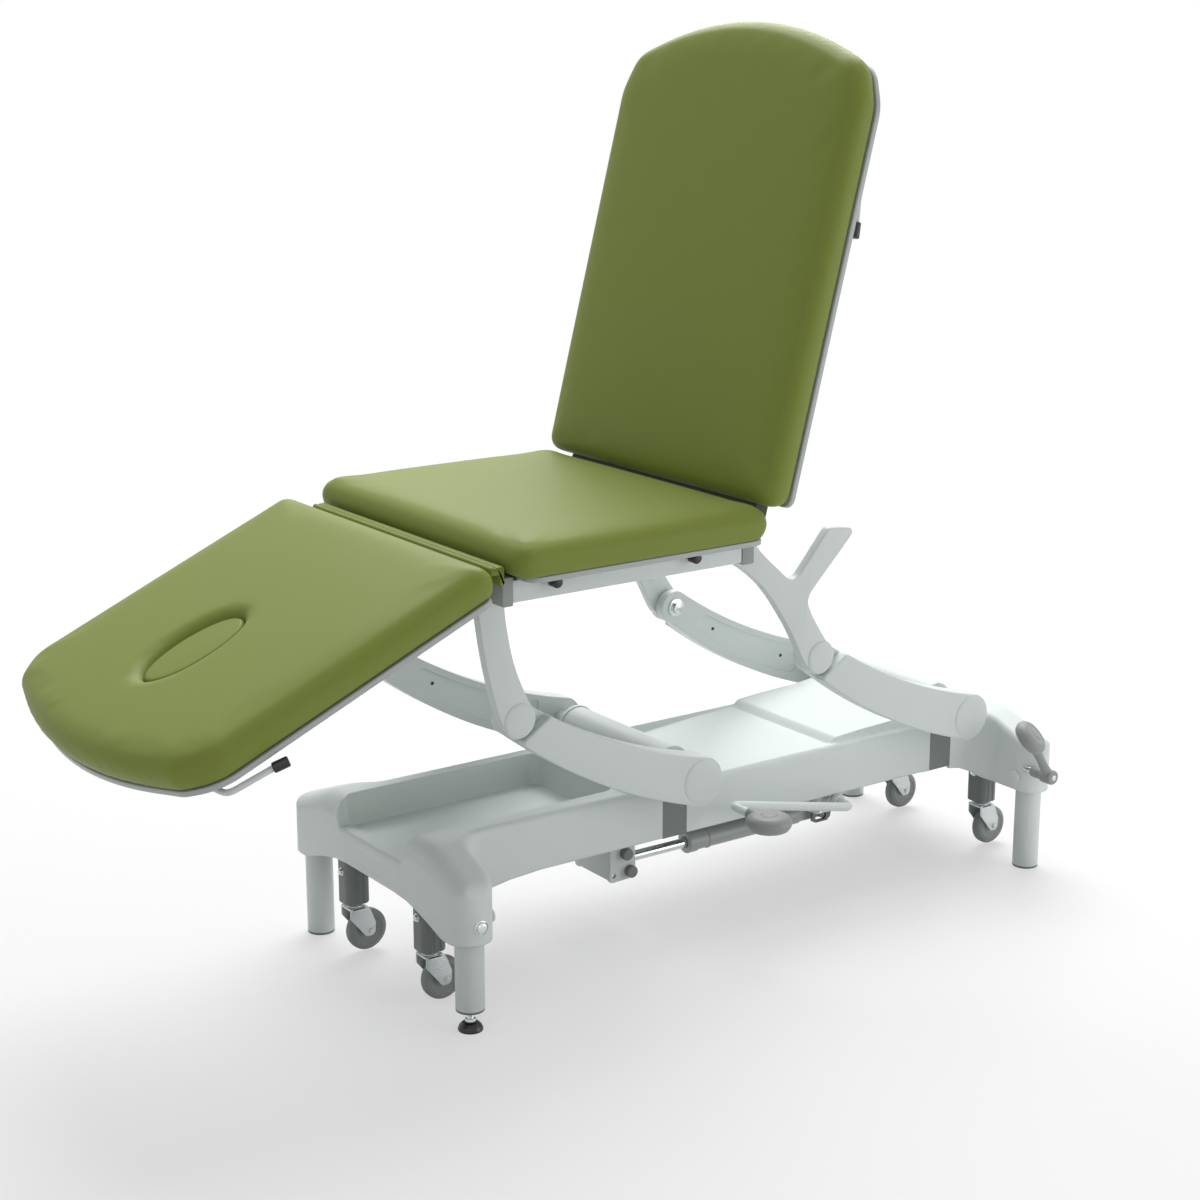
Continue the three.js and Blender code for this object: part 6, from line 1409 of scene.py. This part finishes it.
def cover_corners(inset=0.0):
    """Corners and radii of one quarter of the cover's plan, drawn in by the inset."""
    return [(COVER_OUTER - inset, COVER_HALF - inset, COVER_ROUND - inset),
            (COVER_INNER + inset, COVER_HALF - inset, COVER_ROUND - inset),
            (COVER_INNER + inset, COVER_BODY - inset, COVER_FILLET + inset)]


def notched_plan():
    """The cover's outline with a notch over each ear of the chassis."""
    run = []
    for pivot in (PIVOTS["head"], PIVOTS["foot"]):
        run += [(pivot + NOTCH_HALF, COVER_BODY, 0), (pivot + NOTCH_HALF, NOTCH_Y, 0),
                (pivot - NOTCH_HALF, NOTCH_Y, 0), (pivot - NOTCH_HALF, COVER_BODY, 0)]
    end = np.array(cover_corners())
    half = np.vstack([end, run, end[::-1] * (-1, 1, 1)])
    return divided(rounded_plan(np.vstack([half, half[::-1] * (1, -1, 1)])), 5.0)


def cover_inset(x, y):
    """Distance in from the outline, by quarters: to the end and its rounded corners, and to the
    body's side, which a hollow round joins to the tee: hypot(x - 545, 203 - y) - 46."""
    x, y = np.abs(x), np.abs(y)
    middle, flat = (COVER_OUTER + COVER_INNER) / 2, (COVER_OUTER - COVER_INNER) / 2 - COVER_ROUND
    corner = np.hypot(np.maximum(np.abs(x - middle) - flat, 0), y - (COVER_HALF - COVER_ROUND))
    end = np.where(y > COVER_HALF - COVER_ROUND, COVER_ROUND - corner, COVER_OUTER - x)
    beside = np.maximum(x - COVER_INNER + COVER_FILLET, 0)
    below = np.maximum(COVER_BODY + COVER_FILLET - y, 0)
    return np.maximum(np.minimum(end, np.hypot(beside, below) - COVER_FILLET), 0.0)


def tray_inset(x, y):
    """Distance into the tray's rounded rectangle, less than nothing outside it."""
    x0, x1, half, corner = TRAY
    u = np.abs(x - (x0 + x1) / 2) - (x1 - x0) / 2 + corner
    v = np.abs(y) - half + corner
    return corner - np.hypot(np.maximum(u, 0), np.maximum(v, 0)) - np.minimum(np.maximum(u, v), 0)


def cover_height(x, y):
    """The crest, less the cube root of the cubes of three quarter rounds; then the tray pressed
    into it, the line along the middle of the body and the low lip at the tray's mouth."""
    inset, side = cover_inset(x, y), np.abs(y)
    past = side - CREST_HALF
    crest = COVER_TOP - CREST_SLOPE * 0.5 * (past + np.sqrt(past**2 + CREST_SOFT**2))
    rounds = ((inset, EDGE_ROUND), (COVER_OUTER - np.abs(x), END_ROUND), (COVER_HALF - side, SIDE_ROUND))
    rim = crest - np.cbrt(sum(edge_drop(*one) ** 3 for one in rounds))
    height = rim + (TRAY_FLOOR - rim) * smoothstep(-3.0, 8.0, tray_inset(x, y))
    at = np.arange(-300.0, 620.0)
    kernel = np.hanning(13)
    line = np.convolve(np.interp(at, *BODY_LINE.T), kernel / kernel.sum(), "same")
    within = (x > BODY_LINE[0, 0]) & (x < BODY_LINE[-1, 0])
    share = (1 - smoothstep(143.0, 149.5, side)) * within
    height = height + (np.interp(x, at, line) - height) * share
    mouth = MOUTH_LIP + 48.0 * smoothstep(102.0, 118.0, side) - edge_drop(inset, 6.0)
    return np.where(x < -622.0, np.minimum(height, mouth), height)


def cover_points():
    """Points that follow the cover's edges, the tray's walls and the body's steps, and an even
    grid of 6 mm where none of those is near."""
    rings = [evenly(rounded_plan(mirrored(cover_corners(inset)), 33), 860) for inset in EDGE_RINGS]
    x0, x1, half, corner = TRAY
    for s in (-5.0, -3.0, -1.4, 0.4, 2.5, 4.6, 6.4, 8.0, 10.5):
        rings.append(divided(rectangle(x0 + s, x1 - s, -half + s, half - s, corner - s), 5.0))
    along = np.arange(-254.0, 560.0, 4.0)
    for y in (142.0, 143.4, 145.0, 146.6, 148.2, 149.5):
        rings += [np.stack([along, np.full(len(along), side * y)], axis=-1) for side in (-1, 1)]
    across = np.concatenate([np.arange(-122.0, -98.0, 2.0), np.arange(100.0, 124.0, 2.0)])
    for x in (-667.2, -665.0, -662.0, -658.0, -653.0, -646.0):
        rings.append(np.stack([np.full(len(across), x), across], axis=-1))
    special = np.vstack(rings)
    keep = cover_inset(*special.T) > 0.3
    for pivot in PIVOTS.values():
        keep &= (np.abs(special[:, 0] - pivot) > NOTCH_HALF + 1) | (np.abs(special[:, 1]) < NOTCH_Y - 1)
    special = special[keep]
    grid = np.meshgrid(np.arange(-651.0, 652.0, 6.0), np.arange(-268.0, 269.0, 6.0))
    grid = np.stack(grid, axis=-1).reshape(-1, 2)
    grid = grid[cover_inset(*grid.T) > 16.0]
    cell = 3.0
    taken = np.zeros((480, 220), dtype=bool)
    near = np.rint(special / cell).astype(int) + (240, 110)
    for step in np.stack(np.meshgrid((-1, 0, 1), (-1, 0, 1)), axis=-1).reshape(-1, 2):
        taken[tuple((near + step).T)] = True
    free = ~taken[tuple((np.rint(grid / cell).astype(int) + (240, 110)).T)]
    return np.vstack([special, grid[free]])


def inside_slot(points):
    """Whether each point lies in the opening for the crank."""
    x0, x1, half, _ = CRANK_SLOT
    return (points[:, 0] > x0) & (points[:, 0] < x1) & (np.abs(points[:, 1]) < half)


def cover_lip(x, y):
    """Height of the lower edge: by the distance from the end, and arched across each end."""
    side = np.interp(COVER_OUTER - np.abs(x), *SIDE_LIP.T)
    arch = np.where(np.abs(x) >= 600, np.interp(np.abs(y), *ARCH_LIP.T), 0)
    return np.maximum(side, arch)


def base_cover():
    """Top sheet: a triangle mesh of points in plan, lifted by the height formula. Skirt: rows from
    the outline down to the lower lip, pressed in a little for the panel at the foot end. The
    sheet is then given its wall."""
    rim = notched_plan()
    x0, x1, half, corner = CRANK_SLOT
    slot = divided(rectangle(x0, x1, -half, half, corner), 5.0)
    free = cover_points()
    outside = np.abs(free - ((x0 + x1) / 2, 0)) > ((x1 - x0) / 2 + 2, half + 2)
    free = free[outside.any(axis=1)]
    points = np.vstack([rim, slot, free])
    loops, start = [], 0
    for loop in (rim, slot):
        loops += [(start + k, start + (k + 1) % len(loop)) for k in range(len(loop))]
        start += len(loop)
    plan, _, faces, _, _, _ = delaunay_2d_cdt([Vector(p) for p in points], loops, [], 1, 1e-4)
    plan = np.array([tuple(p) for p in plan])
    faces = np.array([face[:3] for face in faces])
    a, b, c = (plan[faces[:, k]] for k in range(3))
    area = (b - a)[:, 0] * (c - a)[:, 1] - (b - a)[:, 1] * (c - a)[:, 0]
    faces[area < 0] = faces[area < 0][:, ::-1]
    middle = (a + b + c) / 3
    faces = faces[~inside_slot(middle) & (np.abs(area) > 1e-3)]
    top = np.column_stack([plan, cover_height(*plan.T)])
    rows = np.linspace(0.0, 1.0, 25)[:, None]
    high, low = cover_height(*rim.T), cover_lip(*rim.T)
    level = high + (low - high) * rows
    skirt = np.empty((*level.shape, 3))
    skirt[..., :2], skirt[..., 2] = rim, level
    panel = (1 - smoothstep(73.0, 77.0, np.abs(skirt[..., 1]))) * (skirt[..., 0] < -667.0)
    panel *= smoothstep(198.0, 203.0, skirt[..., 2]) * (1 - smoothstep(229.0, 234.0, skirt[..., 2]))
    skirt[..., 0] += 1.2 * panel
    sides = grid_faces(len(rows), len(rim))[:, ::-1].reshape(len(rows) - 1, len(rim), 4)
    notched = (np.abs(rim[:, 1]) < NOTCH_Y + 0.1) & (np.abs(rim[:, 0]) < COVER_INNER - COVER_FILLET - 5)
    sides = sides[:, ~(notched & np.roll(notched, -1))].reshape(-1, 4) + len(top)
    mesh = bpy.data.meshes.new("base_cover_sheet")
    every = np.vstack([top, skirt.reshape(-1, 3)])
    mesh.from_pydata(in_place(every).tolist(), [], faces.tolist() + sides.tolist())
    work = bmesh.new()
    work.from_mesh(mesh)
    bmesh.ops.remove_doubles(work, verts=work.verts, dist=2e-5)
    bmesh.ops.delete(work, geom=[v for v in work.verts if not v.link_faces], context="VERTS")
    work.to_mesh(mesh)
    work.free()
    piece = shown("base_cover_sheet", mesh, COVER_PLASTIC)
    wall = piece.modifiers.new("wall", "SOLIDIFY")
    wall.thickness, wall.offset = COVER_WALL * MM, -1.0
    declared(piece, "base", SLOT_OF["base_cover"], "base_cover")


base_cover()


SCREW_X, SCREW_Z = -629.0, 188.0


def housing_screws():
    """A bright domed screw in the near foot housing, and a plain cap on the inner face of every
    housing, level with it."""
    dome = bar(10.3, -291.5, -283.5, "y", (SCREW_X, 0, SCREW_Z), 6.0, 48)
    collar = bar(12.0, -286.2, -283.5, "y", (SCREW_X, 0, SCREW_Z), 1.0, 48)
    new_piece("housing_screw", [dome, collar], BRIGHT_METAL, "base", "bright_metal")
    caps = []
    for end in ENDS.values():
        for side in SIDES.values():
            start, stop = sorted((end * (COVER_INNER - 5.5), end * (COVER_INNER + 1.0)))
            caps.append(bar(11.5, start, stop, "x", (0, side * LEG_Y, SCREW_Z), 3.0, 40))
    new_piece("housing_caps", caps, COVER_PLASTIC, "base", SLOT_OF["base_cover"])


housing_screws()


# Studio
def lamp(name, place, aim, size, power):
    """A round area lamp at a place, turned to what it aims at."""
    data = bpy.data.lights.new(name, "AREA")
    data.shape = "DISK"
    data.size = size
    data.energy = power
    light = bpy.data.objects.new(name, data)
    bpy.context.scene.collection.objects.link(light)
    light.location = BASE + np.array(place)
    way = Vector(np.array(aim) - np.array(place))
    light.rotation_euler = way.to_track_quat("-Z", "Y").to_euler()


FLOOR_REACH = 30.0
FLOOR_NEAR, FLOOR_FAR = 1.6, 4.2
FLOOR_WHITE, FLOOR_GLOW = 0.8, 0.5


def seen_directly(tree, share):
    """The share where the camera, a mirror or glass shows the surface, and nothing where it only
    gives off soft light."""
    rays = tree.nodes.new("ShaderNodeLightPath")
    seen = math_node(tree, "MAXIMUM", rays.outputs["Is Camera Ray"], rays.outputs["Is Glossy Ray"])
    seen = math_node(tree, "MAXIMUM", seen, rays.outputs["Is Transmission Ray"])
    return math_node(tree, "MULTIPLY", seen, share)


def studio_floor():
    """A wide floor that keeps the couch's shadow, lightened by the share GLOW of plain white. From
    NEAR to FAR metres from the couch it turns to the backdrop's white by a smooth step."""
    mesh = bpy.data.meshes.new("floor")
    far = FLOOR_REACH
    mesh.from_pydata([(-far, -far, 0), (far, -far, 0), (far, far, 0), (-far, far, 0)], [], [(0, 1, 2, 3)])
    floor = bpy.data.objects.new("floor", mesh)
    bpy.context.scene.collection.objects.link(floor)
    material = bpy.data.materials.new("floor white")
    material.use_nodes = True
    tree = material.node_tree
    surface = tree.nodes["Principled BSDF"]
    surface.inputs["Base Color"].default_value = (FLOOR_WHITE, FLOOR_WHITE, FLOOR_WHITE, 1.0)
    surface.inputs["Roughness"].default_value = 0.95
    surface.inputs["Specular IOR Level"].default_value = 0.0
    white = tree.nodes.new("ShaderNodeEmission")
    white.inputs["Strength"].default_value = 1.0
    distance = tree.nodes.new("ShaderNodeVectorMath")
    distance.operation = "LENGTH"
    tree.links.new(tree.nodes.new("ShaderNodeTexCoord").outputs["Object"], distance.inputs[0])
    out = tree.nodes.new("ShaderNodeMapRange")
    out.interpolation_type = "SMOOTHSTEP"
    out.inputs["From Min"].default_value, out.inputs["From Max"].default_value = FLOOR_NEAR, FLOOR_FAR
    out.inputs["To Min"].default_value = FLOOR_GLOW
    tree.links.new(distance.outputs["Value"], out.inputs["Value"])
    mix = tree.nodes.new("ShaderNodeMixShader")
    tree.links.new(seen_directly(tree, out.outputs["Result"]), mix.inputs["Fac"])
    tree.links.new(surface.outputs["BSDF"], mix.inputs[1])
    tree.links.new(white.outputs["Emission"], mix.inputs[2])
    tree.links.new(mix.outputs["Shader"], tree.nodes["Material Output"].inputs["Surface"])
    mesh.materials.append(material)


def backdrop():
    """The world: plain soft light, and pure white where it is seen."""
    world = bpy.data.worlds.new("studio")
    bpy.context.scene.world = world
    world.use_nodes = True
    tree = world.node_tree
    soft = tree.nodes["Background"]
    soft.inputs["Color"].default_value = (1.0, 1.0, 1.0, 1.0)
    soft.inputs["Strength"].default_value = WORLD_LIGHT
    white = tree.nodes.new("ShaderNodeBackground")
    white.inputs["Color"].default_value = (1.0, 1.0, 1.0, 1.0)
    mix = tree.nodes.new("ShaderNodeMixShader")
    tree.links.new(seen_directly(tree, 1.0), mix.inputs["Fac"])
    tree.links.new(soft.outputs["Background"], mix.inputs[1])
    tree.links.new(white.outputs["Background"], mix.inputs[2])
    tree.links.new(mix.outputs["Shader"], tree.nodes["World Output"].inputs["Surface"])


WORLD_LIGHT = 0.44
studio_floor()
backdrop()
lamp("key", (1.7, 2.3, 4.7), (0.0, 0.0, 0.3), 5.0, 325.0)
lamp("fill", (-3.5, -3.0, 3.0), (0.0, 0.0, 0.7), 3.5, 12.0)
lamp("low fill", (2.6, -3.2, 0.9), (0.0, 0.0, 0.3), 2.5, 40.0)
bpy.context.scene.view_settings.view_transform = "Standard"
